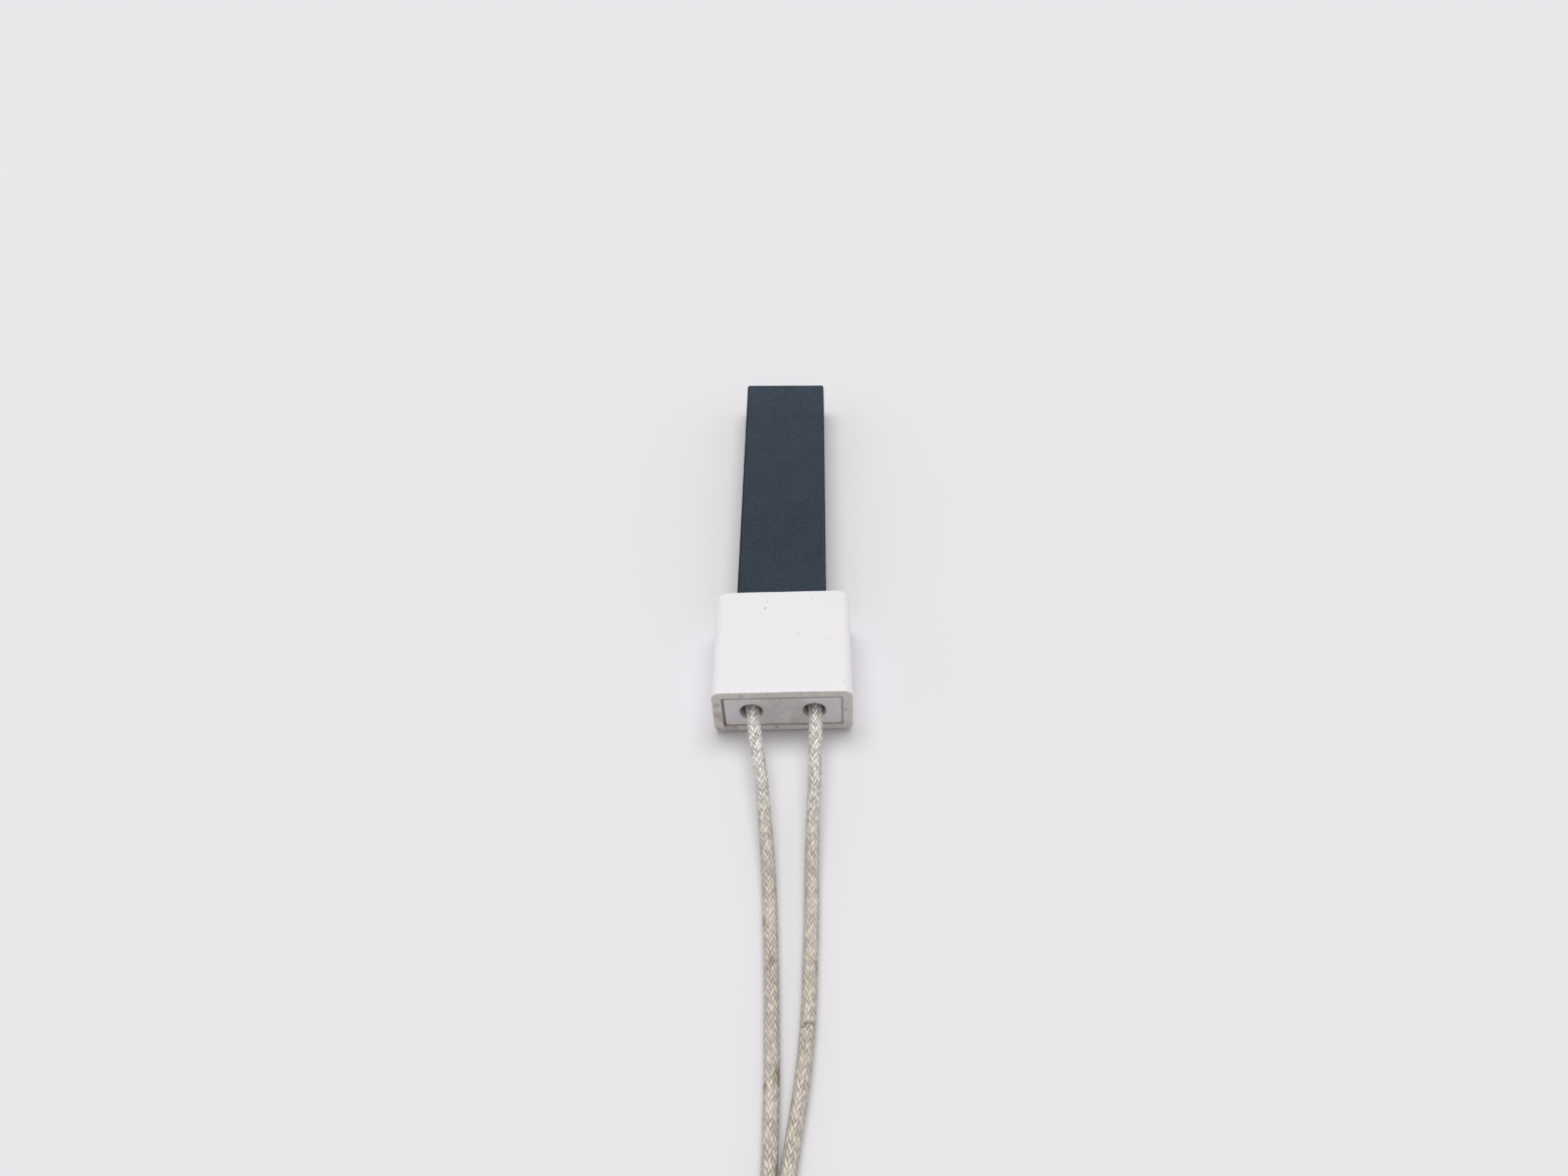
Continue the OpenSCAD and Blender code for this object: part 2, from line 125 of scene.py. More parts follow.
class Finish(Nodes):
    def __init__(self, name):
        self.material = bpy.data.materials.new(name)
        self.material.use_nodes = True
        super().__init__(self.material.node_tree)
        self.place = self.node("ShaderNodeTexCoord", output="Object")
        self.colour = None

    def split(self, vector=None):
        parts = self.node("ShaderNodeSeparateXYZ", {0: vector or self.place}).socket.node
        return [Value(self, s) for s in parts.outputs]

    def join(self, x, y, z):
        return self.node("ShaderNodeCombineXYZ", {0: x, 1: y, 2: z})

    def noise(self, scale, detail, roughness=0.5, at=None):
        return self.node("ShaderNodeTexNoise", {
            "Vector": at or self.place, "Scale": scale, "Detail": detail, "Roughness": roughness})

    def cells(self, scale):
        return self.node("ShaderNodeTexVoronoi", {"Vector": self.place, "Scale": scale})

    def random(self, first, second):
        return self.node("ShaderNodeTexWhiteNoise", {"Vector": self.join(first, second, 0.0)},
                         noise_dimensions="2D")

    def choose(self, amount, first, second):
        # numbers: first where amount is 0, second where it is 1
        return self.node("ShaderNodeMix", {0: amount, 2: first, 3: second}, data_type="FLOAT")

    def mix(self, amount, first, second, kind="MIX"):
        # colours are four numbers or a colour's Value
        return self.node("ShaderNodeMix", {0: amount, 6: first, 7: second}, 2,
                         data_type="RGBA", blend_type=kind)

    def shade(self, colour, amount):
        # the colour times a grey of that amount
        grey = self.node("ShaderNodeCombineColor", {0: amount, 1: amount, 2: amount})
        return self.mix(1.0, colour, grey, "MULTIPLY")

    def paint(self, amount, colour):
        # lays a colour over the one so far
        self.colour = self.mix(amount, self.colour, colour)

    def spot(self, at, centre, radius, core):
        # 1 within that fraction of the radius, 0 beyond it
        gap = self.node("ShaderNodeVectorMath", {0: at, 1: centre}, "Value", operation="DISTANCE")
        return gap.step(radius, radius * core)

    def surface(self, roughness, specular=0.5, bump=None, others=()):
        # bump is its height, distance and strength
        sockets = {"Base Color": self.colour, "Roughness": roughness,
                   "Specular IOR Level": specular, **dict(others)}
        if bump:
            keys = ("Height", "Distance", "Strength")
            sockets["Normal"] = self.node("ShaderNodeBump", dict(zip(keys, bump)))
        shader = self.node("ShaderNodeBsdfPrincipled", sockets)
        self.node("ShaderNodeOutputMaterial", {0: shader})
        return self.material


def strongest(values):
    most = 0.0
    for value in values:
        most = value.max(most)
    return most


def rgb(r, g, b):
    return (r, g, b, 1.0)


# mesh helpers

def addObject(name, data):
    made = bpy.data.objects.new(name, data)
    bpy.context.scene.collection.objects.link(made)
    return made


def addPiece(mesh, finish, nodes, sharp=40):
    mesh.validate()
    mesh.materials.append(finish)
    mesh.shade_smooth()
    mesh.set_sharp_from_angle(angle=radians(sharp))
    piece = addObject(mesh.name, mesh)
    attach(piece, body)
    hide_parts(*nodes)
    return piece


def addBuilt(name, built, finish, slot, *nodes, weld=0.0):
    # a piece from a bmesh, whose points closer than weld become one
    if weld:
        bmesh.ops.remove_doubles(built, verts=built.verts, dist=weld)
    bmesh.ops.recalc_face_normals(built, faces=built.faces)
    mesh = bpy.data.meshes.new(name)
    built.to_mesh(mesh)
    built.free()
    return addPiece(mesh, finish, nodes)


def addSkin(name, rings, finish, slot, *nodes, closed=False, flip=True, sharp=40):
    # a piece from rings of points that follow one another, closed into a loop or capped at its ends
    count, total = len(rings[0]), len(rings)
    faces = []
    for i in range(total if closed else total - 1):
        a, b = i * count, (i + 1) % total * count
        for k in range(count):
            n = (k + 1) % count
            faces.append((a + k, a + n, b + n, b + k))
    if flip:
        faces = [f[::-1] for f in faces]
    if not closed:
        faces.append(tuple(range(count)))
        faces.append(tuple(range(total * count - 1, (total - 1) * count - 1, -1)))
    mesh = bpy.data.meshes.new(name)
    mesh.from_pydata([tuple(p) for ring in rings for p in ring], [], faces)
    return addPiece(mesh, finish, nodes, sharp)


def addBand(name, finish, node, plan, inner, outer, rows, shift, flip=False):
    # a loop of cement: each row is how far out it is from inner (0) to outer (1), and y; the first
    # and last are its back, and the others are uneven
    rings = []
    for t, y in rows:
        ring = []
        for x, z in roundedOutline(*between(inner, outer, t), plan["steps"]):
            dip = plan["wave"] * wobble(x, z, t * 0.002, plan["grain"]) if y != rows[0][1] else 0
            ring.append((shift(x, z, t, y), y + dip, midZ + z))
        rings.append(ring)
    addSkin(name, rings, finish, "seam_cement", node, closed=True, flip=flip)


def bridge(built, rows, closed=False, order=1):
    # rows of points with faces between them, each row a ring; no face in the mirror plane x = 0
    rows = [[built.verts.new(p) for p in row] for row in rows]
    for a, b in zip(rows, rows[1:] + rows[:1] if closed else rows[1:]):
        for k in range(len(a)):
            n = (k + 1) % len(a)
            corners = (a[k], a[n], b[n], b[k])[::order]
            if any(abs(v.co.x) >= 1e-6 for v in corners):
                built.faces.new(corners)
    return rows


def between(a, b, t):
    return tuple(p + (q - p) * t for p, q in zip(a, b))


def fractions(steps, first=1):
    return [k / steps for k in range(first, steps + 1)]


def quarter(steps, first=1):
    # how far a quarter round has drawn in and gone on, for a radius of 1
    return [(1 - cos(a), sin(a)) for a in (t * pi / 2 for t in fractions(steps, first))]


def around(centre, radius, angle):
    return (centre[0] + radius * cos(angle), centre[1] + radius * sin(angle))


def roundedOutline(halfW, halfH, radius, steps):
    # an anticlockwise rounded rectangle, with these steps along its width, height and corners
    wide, tall, corner = steps
    points = []
    flatW = halfW - radius
    flatH = halfH - radius
    corners = [(flatW, flatH), (-flatW, flatH), (-flatW, -flatH), (flatW, -flatH)]
    for n, run in enumerate((wide, tall, wide, tall)):
        for k in range(corner):
            points.append(around(corners[n], radius, radians(90 * (n + k / corner))))
        for k in range(run):
            centre = between(corners[n], corners[(n + 1) % 4], k / run)
            points.append(around(centre, radius, radians(90 * (n + 1))))
    return points


def resampled(line, count=None, step=None):
    # the same line with points evenly along it, and how far along each one is
    run = np.concatenate([[0], np.cumsum(np.linalg.norm(np.diff(line, axis=0), axis=1))])
    places = np.linspace(0, run[-1], count or int(round(run[-1] / step)) + 1)
    return np.stack([np.interp(places, run, column) for column in line.T], axis=1), places


def wobble(x, y, z, size):
    # smooth noise from -1 to 1 whose bumps are about size across
    return noise.noise(Vector((x, y, z)) / size)


def roundInset(radius, past):
    # how far a quarter round has drawn in, that far past where it starts
    past = min(max(past, 0.0), radius)
    return radius - sqrt(radius ** 2 - past ** 2)


def smoothStep(t):
    t = min(1.0, max(0.0, t))
    return t * t * (3 - 2 * t)


# camera, light and table

cameraPlan = {
    "place": (0.00928, -0.15825, 0.19156),
    "pitch": 46.485,      # degrees below level
    "yaw": -3.009,        # degrees to the right of the blade's direction
    "roll": -3.581,
    "lens": 30.375,
    "sensor": 36.0,
    "near": 0.01,
    "far": 20,
}


def makeCamera(plan):
    pitch, yaw, roll = (radians(plan[k]) for k in ("pitch", "yaw", "roll"))
    level = Vector((sin(yaw), cos(yaw), 0))
    forward = level * cos(pitch) - Vector((0, 0, sin(pitch)))
    right = Vector((cos(yaw), -sin(yaw), 0))
    up = right.cross(forward)
    acrossView = right * cos(roll) + up * sin(roll)
    upView = up * cos(roll) - right * sin(roll)
    data = bpy.data.cameras.new("camera")
    data.lens = plan["lens"]
    data.sensor_width = plan["sensor"]
    data.clip_start = plan["near"]
    data.clip_end = plan["far"]
    made = addObject("camera", data)
    turn = Matrix((acrossView, upView, -forward)).transposed().to_4x4()
    made.matrix_world = Matrix.Translation(plan["place"]) @ turn
    bpy.context.scene.camera = made


lightPlan = {
    # strength, degrees from upright towards the blade's tip and to the side, degrees across
    "softboxes": {
        "leftSoftbox": (1.06, 17.0, -14.0, 32.0),
        "rightSoftbox": (1.06, 17.0, 14.0, 32.0),
        "leftWing": (0.50, 0.0, -66.0, 60.0),
        "rightWing": (0.44, 0.0, 66.0, 60.0),
        "fill": (0.22, -62.0, 4.0, 70.0),
    },
    "sky": rgb(0.97, 0.95, 0.96),
    "skyStrength": 0.24,
    "backdrop": rgb(0.80, 0.79, 0.82),
    "table": rgb(0.795, 0.785, 0.805),
    "tableSize": 4.0,
}


def makeLight(plan):
    for name, (strength, lean, side, size) in plan["softboxes"].items():
        sun = bpy.data.lights.new(name, "SUN")
        sun.energy = strength
        sun.angle = radians(size)
        addObject(name, sun).rotation_euler = (radians(-lean), radians(side), 0)
    world = bpy.data.worlds.new("studio")
    world.use_nodes = True
    nodes = Nodes(world.node_tree)
    sky = nodes.node("ShaderNodeBackground",
                     {"Color": plan["sky"], "Strength": plan["skyStrength"]})
    backdrop = nodes.node("ShaderNodeBackground", {"Color": plan["backdrop"]})
    seen = nodes.node("ShaderNodeLightPath", output="Is Camera Ray")
    rays = seen.socket.node.outputs
    for name in ("Is Glossy Ray", "Is Transmission Ray"):
        seen = seen.max(Value(nodes, rays[name]))
    blend = nodes.node("ShaderNodeMixShader", {0: seen, 1: sky, 2: backdrop})
    nodes.node("ShaderNodeOutputWorld", {0: blend})
    bpy.context.scene.world = world


def makeTable(plan):
    finish = Finish("tabletop")
    finish.colour = finish.shade(plan["table"], 0.985 + finish.noise(9, 3) * 0.03)
    half = plan["tableSize"] / 2
    mesh = bpy.data.meshes.new("tabletop")
    corners = [(-half, -half, 0), (half, -half, 0), (half, half, 0), (-half, half, 0)]
    mesh.from_pydata(corners, [], [(0, 1, 2, 3)])
    mesh.materials.append(finish.surface(0.75, 0.2))
    addObject("tabletop", mesh)


makeCamera(cameraPlan)
makeLight(lightPlan)
makeTable(lightPlan)
bpy.context.scene.view_settings.view_transform = "Standard"
print("camera, light and table")


# braided leads

leadPlan = {
    "diameter": 0.0024,
    "length": 0.248,       # from its end in the block to its end in the terminal
    "foldRadius": 0.0072,  # three diameters
    "hankX": 0.0088,       # each hank's own middle line
    "hankStart": 0.084,    # from the block's rear face
    "waist": 0.010,
    "terminalGap": 0.003,
    "inTerminal": 0.0042,
    "terminalZ": 0.004,
    "liftZ": 0.0020,       # the two lower runs, lying in the tie
    "topZ": 0.00433,       # the run on top of them
    "climb": 0.00007,      # how much higher it comes to the waist, and how much lower it leaves
    "dip": 0.00022,
    "around": 72,
    "step": 0.000184,
    "yarns": 12,           # in each direction
    "pitch": 0.0150,       # one turn of a yarn
    "wave": 0.00004,
    "crown": 0.0001,
}

# y from the block's rear face, z, the left lead's x and the right one's
leadStations = [
    (0.005, midZ, -holeX, holeX), (0.0025, midZ, -holeX, holeX),
    (0, midZ, -holeX + 0.00035, holeX + 0.00015),
    (-0.004, 0.0054, -0.00495, 0.0058), (-0.008, 0.005, -0.0044, 0.0057),
    (-0.012, 0.0044, -0.00385, 0.00555), (-0.016, 0.0037, -0.0034, 0.0054),
    (-0.02, 0.003, -0.00305, 0.0052), (-0.025, 0.0022, -0.00265, 0.005),
    (-0.03, 0.0016, -0.0023, 0.00485), (-0.035, 0.0013, -0.00205, 0.0048),
    (-0.04, restZ, -0.00185, 0.0047), (-0.046, restZ, -0.00165, 0.0045),
    (-0.052, restZ, -0.0015, 0.0043), (-0.058, restZ, -0.0014, 0.00395),
    (-0.064, restZ, -0.0013, 0.00335), (-0.07, restZ, -0.00135, 0.0025),
    (-0.075, restZ, -0.0014, 0.0017), (-0.08, restZ, -0.0016, 0.0011),
    (-0.085, restZ, -0.0021, 0.0013),
]


def hankPath(plan, sign, start):
    # the folded part, in the hank's own u (outwards), y and z, on from the point start
    r = plan["foldRadius"]
    half = plan["diameter"] / 2
    flare = acos((half + r) / (2 * r))
    flareL = r * sin(flare)
    nearLoop = rearY - plan["hankStart"] - r - half
    waistNear = nearLoop - 2 * flareL
    waistFar = waistNear - plan["waist"]
    waistMid = (waistNear + waistFar) / 2
    farLoop = waistFar - 2 * flareL
    low, lift, top = restZ, plan["liftZ"], plan["topZ"]
    high = restZ + 2 * half
    points = []

    def turn(cu, cy, fromAngle, toAngle, steps, lowZ, highZ):
        for t in fractions(steps):
            u, y = around((cu, cy), r, fromAngle + (toAngle - fromAngle) * t)
            points.append((u, y, lowZ + (highZ - lowZ) * smoothStep(t)))

    # in from the free stretch, under the near loop, to the waist's inner side
    startU = sign * start[0] - plan["hankX"]
    for t in fractions(9):
        u = startU + (-half - startU) * smoothStep(t)
        z = low + (lift - low) * smoothStep(t * 3 - 2)
        points.append((u, start[1] + (waistNear - start[1]) * t, z))
    points += [(-half, waistMid, lift), (-half, waistFar, lift)]
    # far fold: out, round and back
    turn(-half - r, waistFar, 0, -flare, 4, lift, low)
    turn(0, farLoop, pi - flare, 2 * pi + flare, 20, low, low)
    turn(half + r, waistFar, pi + flare, pi, 4, low, lift)
    points += [(half, waistMid, lift), (half, waistNear, lift)]
    # near fold, which climbs over the incoming run
    turn(half + r, waistNear, pi, pi - flare, 4, lift, low)
    turn(0, nearLoop, -flare, pi / 2, 10, low, high)
    turn(0, nearLoop, pi / 2, pi + flare, 10, high, high)
    turn(-half - r, waistNear, flare, 0, 4, high, top + plan["climb"])
    # back over the waist and down into the terminal's barrel
    inBarrel = waistFar - plan["terminalGap"]
    points += [(-half * 0.5, waistMid, top), (0, waistFar, top - plan["dip"]),
               (0, inBarrel, plan["terminalZ"]),
               (0, inBarrel - plan["inTerminal"], plan["terminalZ"])]
    return [(sign * (plan["hankX"] + u), y, z) for u, y, z in points]


def evenly(points, step, fineness=24):
    # points on a smooth curve through these, evenly spaced
    given = np.array(points)
    ends = np.vstack([2 * given[0] - given[1], given, 2 * given[-1] - given[-2]])
    fine = []
    for i in range(1, len(ends) - 2):
        p = ends[i - 1:i + 3]
        k = np.concatenate([[0], np.cumsum(np.sqrt(np.linalg.norm(np.diff(p, axis=0), axis=1)))])
        for t in np.linspace(k[1], k[2], fineness, endpoint=False):
            q = [between(p[n], p[n + 1], (t - k[n]) / (k[n + 1] - k[n])) for n in range(3)]
            q = [between(q[n], q[n + 1], (t - k[n]) / (k[n + 2] - k[n])) for n in range(2)]
            fine.append(between(*q, (t - k[1]) / (k[2] - k[1])))
    fine.append(given[-1])
    return resampled(np.array(fine), step=step)


def braidHeight(turn, along, plan):
    # height of the braid's surface under its crests: yarns pass over two and under two
    n = plan["yarns"]
    u = n * (turn - along / plan["pitch"])
    v = n * (turn + along / plan["pitch"])
    i, j = np.round(u), np.round(v)

    def yarn(across, phase):
        wave = np.clip(1.7 * np.cos(pi / 2 * phase), -1, 1)
        crown = np.sqrt(np.clip(1 - (2 * across) ** 2, 0, 1))
        return plan["wave"] * (wave - 1) + plan["crown"] * (crown - 1)

    return np.maximum(yarn(u - i, i + v - 0.5), yarn(v - j, u + j - 2.5))


def makeLead(side, finish, plan):
    free = [(xs[side == "right"], rearY + y, z) for y, z, *xs in leadStations]
    route = free + hankPath(plan, signs[side], free[-1])
    line, along = evenly(route, plan["step"])
    ahead = np.gradient(line, axis=0)
    ahead /= np.linalg.norm(ahead, axis=1)[:, None]
    across = np.cross(ahead, (0, 0, 1.0))
    across /= np.linalg.norm(across, axis=1)[:, None]
    lift = np.cross(across, ahead)
    turn = np.arange(plan["around"]) / plan["around"]
    radius = plan["diameter"] / 2 + braidHeight(turn[None, :], along[:, None], plan)
    angle = 2 * pi * turn[None, :, None]
    out = np.cos(angle) * across[:, None, :] + np.sin(angle) * lift[:, None, :]
    rings = line[:, None, :] + radius[:, :, None] * out
    piece = addSkin(side + "_braided_lead", rings, finish, "lead_braid", side + "_lead",
                    side + "_lead_hank", sharp=80)
    addLeadMaps(piece.data, plan["around"], along)
    path = [tuple(p) for p in line[::8]] + [tuple(line[-1])]
    print(side, "lead", round(float(along[-1]), 4), "m")
    return piece, path, free[2]


def addMap(mesh, name, u, v):
    pairs = np.stack([u, v], axis=1).astype(np.float32)
    mesh.uv_layers.new(name=name).uv.foreach_set("vector", pairs.ravel())


def addLeadMaps(mesh, count, along):
    # "lay" holds turns and metres along; "OFBake" lays the lead out in rows that fill the square
    corner = np.zeros(len(mesh.loops), dtype=np.int32)
    mesh.loops.foreach_get("vertex_index", corner)
    ring = corner // count
    turn = (corner % count) / count
    quad = np.arange(len(corner)) // 4
    lengths = len(along) - 1
    inQuads = quad < lengths * count
    # the last quad of each ring closes the circle, so its far corners are at one whole turn
    turn[inQuads & (quad % count == count - 1) & (corner % count == 0)] = 1.0
    addMap(mesh, "lay", turn, along[ring])
    rows = 6
    gap = 0.004
    perRow = ceil(lengths / rows)
    row = np.where(inQuads, quad // count, 0) // perRow
    x = (ring - row * perRow) / perRow
    addMap(mesh, "OFBake", np.where(inQuads, gap + x * (1 - 2 * gap), 0.001 * turn),
           (row + gap * rows + turn * (1 - 2 * gap * rows)) / rows)
    mesh.uv_layers.active = mesh.uv_layers["lay"]


# ceramic block

blockPlan = {
    "corner": 0.0016,      # round of the long edges
    "frontCorner": 0.0014, # seen from above
    "frontEdge": 0.0005,   # top and bottom of the front
    "rearEdge": 0.00016,
    "rearLift": 0.0003,    # the bottom's rear edge is worn clear of the table
    "pocketCorner": 0.00045,
    "pocketEdge": 0.0001,
    "slotCorner": 0.0003,
    "slotEdge": 0.0002,
    "unevenness": 0.00003,
    "rearWave": 0.00006,   # the sawn rear edge isn't quite straight
    "waveReach": 0.0011,   # how far up the sides that wave and that wear go
    "wearReach": 0.0009,
    "steps": (50, 18, 8),  # along its width, height and corners
    "sideSteps": 38,
    "colour": rgb(0.815, 0.795, 0.815),
    "rim": rgb(0.70, 0.66, 0.635),
    "stain": rgb(0.42, 0.34, 0.30),
    "pit": rgb(0.10, 0.09, 0.09),
}

# x, y and radius of the small dark pits in the block's top
topPits = [
    (-0.00323, 0.00793, 0.00025), (-0.0028, 0.00953, 0.00018), (0.00543, 0.01001, 0.00013),
    (0.00304, 0.00154, 0.00012), (0.00855, -0.00028, 0.00016), (0.01115, -0.00998, 0.00016),
    (-0.0093, -0.0062, 0.00008), (-0.0012, -0.0089, 0.00007),
]

# x, z and radius of the brown smears on the block's rear rim
rimSmears = [
    (-0.0119, 0.0008, 0.0012), (-0.0118, 0.0048, 0.0015), (-0.0089, 0.0009, 0.0013),
    (-0.0112, 0.0038, 0.0011), (-0.0104, 0.0011, 0.0011), (-0.0116, 0.0078, 0.0010),
    (-0.0072, 0.0102, 0.0008), (-0.0012, 0.0011, 0.0007), (0.0112, 0.0058, 0.0006),
]


def ceramicFinish(plan):
    finish = Finish("whiteCeramic")
    place = finish.place
    x, y, z = finish.split()
    cloud = finish.noise(160, 3)
    grain = finish.noise(1500, 4, 0.6)
    finish.colour = finish.shade(plan["colour"], 0.985 + cloud * 0.02 + grain * 0.012)
    # the sawn rear face is greyer than the glazed sides
    ragged = finish.noise(900, 4, 0.65)
    rear = (y + (ragged - 0.5) * 0.00045).step(rearY + 0.00025, rearY + 0.00013)
    sawn = finish.shade(plan["rim"], 0.72 + grain * 0.36 + finish.noise(420, 3) * 0.24)
    finish.paint(rear, sawn)
    smear = strongest(finish.spot(place, (sx, rearY, sz), r, 0.2) for sx, sz, r in rimSmears)
    finish.paint((smear * (ragged * 2.2 - 0.4)).clamp() * 0.8, plan["stain"])
    flat = finish.join(x, y, topZ)
    pit = strongest(finish.spot(flat, (px, py, topZ), r, 0.35) for px, py, r in topPits)
    pit = pit * z.step(topZ - 0.0003, topZ - 0.0001)
    # stray dark grains in the clay
    speck = finish.cells(330).step(0.045, 0.02) * finish.noise(60, 1).step(0.52, 0.6)
    finish.paint(pit.max(speck * 0.35) * 0.85, plan["pit"])
    height = grain * (0.08 + rear * 0.5) + cloud - pit * 6
    return finish.surface(0.28 + rear * 0.42 + grain * 0.04, bump=(height, 0.00002, 0.3))


def makeBlock(finish, plan):
    corner, edge, lip, r = (plan[k] for k in ("corner", "slotEdge", "pocketEdge", "rearEdge"))
    # half width, half height and corner radius of the slot, the pocket and the block
    slot = (slotHigh[0], slotHigh[2] - midZ, plan["slotCorner"])
    pocket = (seamHigh[0], seamHigh[2] - midZ, plan["pocketCorner"])
    block = (blockHigh[0], midZ, corner)
    fronts = (plan["frontCorner"], plan["frontEdge"])
    waves, worn = plan["waveReach"], plan["wearReach"]
    pocketEnd = slotLow[1]
    rings = []  # y, a section like those above, how much of the unevenness

    def add(y, section, more=0.0, rough=0):
        rings.append((y, [s + more for s in section], rough))

    def outer(y):
        # the block's section, which shrinks towards its rounded front
        shrunk = [size - roundInset(f, y - frontY + f) for size, f in zip(block, fronts)]
        add(y, (*shrunk, corner), rough=1)

    # the slot's eased mouth, the front face, the sides from front to rear, and the rear edge
    for drawn, gone in quarter(4, 0):
        add(frontY - edge * (1 - gone), slot, edge * drawn)
    mouth = [s + edge for s in slot]
    face = (block[0] - fronts[0], block[1] - fronts[1], corner)
    for t in fractions(5)[:-1]:
        add(frontY, between(mouth, face, t))
    micrometre = 1e-6
    for back in (0, 8, 30, 70, 130, 200, 300, 420, 560, 740, 1000, 1300, 1650, 2000):
        outer(frontY - back * micrometre)
    sideStart = frontY - fronts[0]
    sideEnd = rearY + r
    for t in fractions(plan["sideSteps"]):
        outer(sideStart + (sideEnd - sideStart) * t)
    for drawn, gone in quarter(5):
        add(sideEnd - r * gone, block, -r * drawn, 1)
    # the rear rim, the pocket's eased mouth, the pocket and the slot
    rim = [s - r for s in block]
    inner = [s + lip for s in pocket]
    for t in fractions(4):
        add(rearY, between(rim, inner, t), rough=1 - t)
    for drawn, gone in quarter(3):
        add(rearY + lip * drawn, pocket, lip * (1 - gone))
    for y in (rearY + 0.0006, rearY + 0.0012, rearY + 0.003, -0.004, 0.001, pocketEnd):
        add(y, pocket)
    for t in fractions(5, 0)[:-1]:
        add(pocketEnd + (frontY - edge - pocketEnd) * t, slot)

    def place(px, pz, y, rough):
        # the rear edge is wavy, and worn at its bottom
        near = smoothStep((rearY + waves - y) / waves) * rough
        low = smoothStep((rearY + worn - y) / worn) * smoothStep((worn - midZ - pz) / worn)
        wave = wobble(px, pz * 2, 0, 0.0019) + 0.5 * wobble(px, pz * 2, 0.3, 0.0008)
        nx = wobble(px, y, pz, 0.006) * plan["unevenness"] * rough
        nz = wobble(pz, px + 0.05, y, 0.005) * plan["unevenness"] * rough
        return (px + nx, y + wave * plan["rearWave"] * near,
                max(midZ + pz + nz, 0.0) + plan["rearLift"] * low * rough)

    skin = [[place(px, pz, y, rough) for px, pz in roundedOutline(*section, plan["steps"])]
            for y, section, rough in rings]
    addSkin("ceramic_block", skin, finish, "block_ceramic", "ceramic_housing", closed=True,
            flip=False)


# plate in the block's rear, with the two lead holes

platePlan = {
    "hole": 0.0041,
    "corner": 0.0005,
    "edge": 0.00012,
    "holeEdge": 0.00022,
    "around": 96,          # steps round each hole
    "unevenness": 0.00003,
    "evenEdge": 0.0005,    # the unevenness fades nearer its edges than this
    "lean": 0.00022,       # its left side isn't quite square in the pocket
    "leanX": (-0.0085, -0.0104),
    "leanZ": (0.0091, 0.0019),
    "ends": rgb(0.748, 0.714, 0.729),
    "middle": rgb(0.665, 0.636, 0.62),
    "stain": rgb(0.46, 0.40, 0.37),
    "holeShadeColour": rgb(0.16, 0.14, 0.14),
}


def leanIn(x, z):
    # the plate's left side leans inwards towards its bottom
    (x0, x1), (z0, z1) = platePlan["leanX"], platePlan["leanZ"]
    amount = max(0, (x - x0) / (x1 - x0)) * (z - z0) / (z1 - z0)
    return x + platePlan["lean"] * min(1.0, max(0.0, amount))


def plateFinish(plan):
    finish = Finish("sawnCeramic")
    x, y, _ = finish.split()
    middle = abs(x).step(0.0047, 0.0031)
    coarse = finish.noise(780, 4, 0.68)
    fine = finish.noise(2600, 3)
    smooth = finish.shade(plan["ends"], 0.97 + fine * 0.06)
    rough = finish.shade(plan["middle"], 0.66 + coarse * 0.70)
    finish.colour = finish.mix(middle * 0.9, smooth, rough)
    stain = finish.noise(230, 3, 0.55).step(0.56, 0.72) * 0.22
    spots = finish.cells(640).step(0.12, 0.04) * fine.step(0.42, 0.56)
    finish.paint(stain.max(spots * 0.4), plan["stain"])
    # deep in the holes the ceramic is painted dark as shade
    holeShade = y.step(rearY + 0.0004, rearY + 0.0026)
    finish.paint(holeShade * 0.75, plan["holeShadeColour"])
    height = coarse * middle * 3 + fine * 0.5 + coarse * 0.4
    return finish.surface(0.62 + middle * 0.2, 0.4, (height, 0.00003, 0.5))


def holedRings(reach, centre, radius, steps, insets, spread, wall):
    # points from a round hole out to a rounded rectangle about the origin, each ring of these
    # steps; wall cuts the rings off at x = 0
    halfW, halfH, corner = reach
    farthest, halvings = 0.04, 36

    def gap(x, z):
        qx = abs(x) - halfW + corner
        qz = abs(z) - halfH + corner
        return hypot(max(qx, 0), max(qz, 0)) + min(max(qx, qz), 0) - corner

    angles = [2 * pi * k / steps for k in range(steps)]
    for cx, cz in ((0, halfH), (0, -halfH)) if wall else ():
        a = atan2(cz - centre[1], cx - centre[0]) % (2 * pi)
        nearest = min(range(steps), key=lambda k: abs(angles[k] - a))
        angles[nearest] = a
    hole = [around(centre, radius, a) for a in angles]
    borders = []
    for inset in insets:
        border = []
        for a in angles:
            low, high = 0.0, farthest
            for _ in range(halvings):
                t = (low + high) / 2
                low, high = (t, high) if gap(*around(centre, t, a)) + inset < 0 else (low, t)
            if wall and cos(a) < -1e-6:
                low = min(low, centre[0] / -cos(a))
            border.append(around(centre, low, a))
        borders.append(border)
    return [hole] + [[between(h, b, t) for h, b in zip(hole, borders[0])] for t in spread] + borders


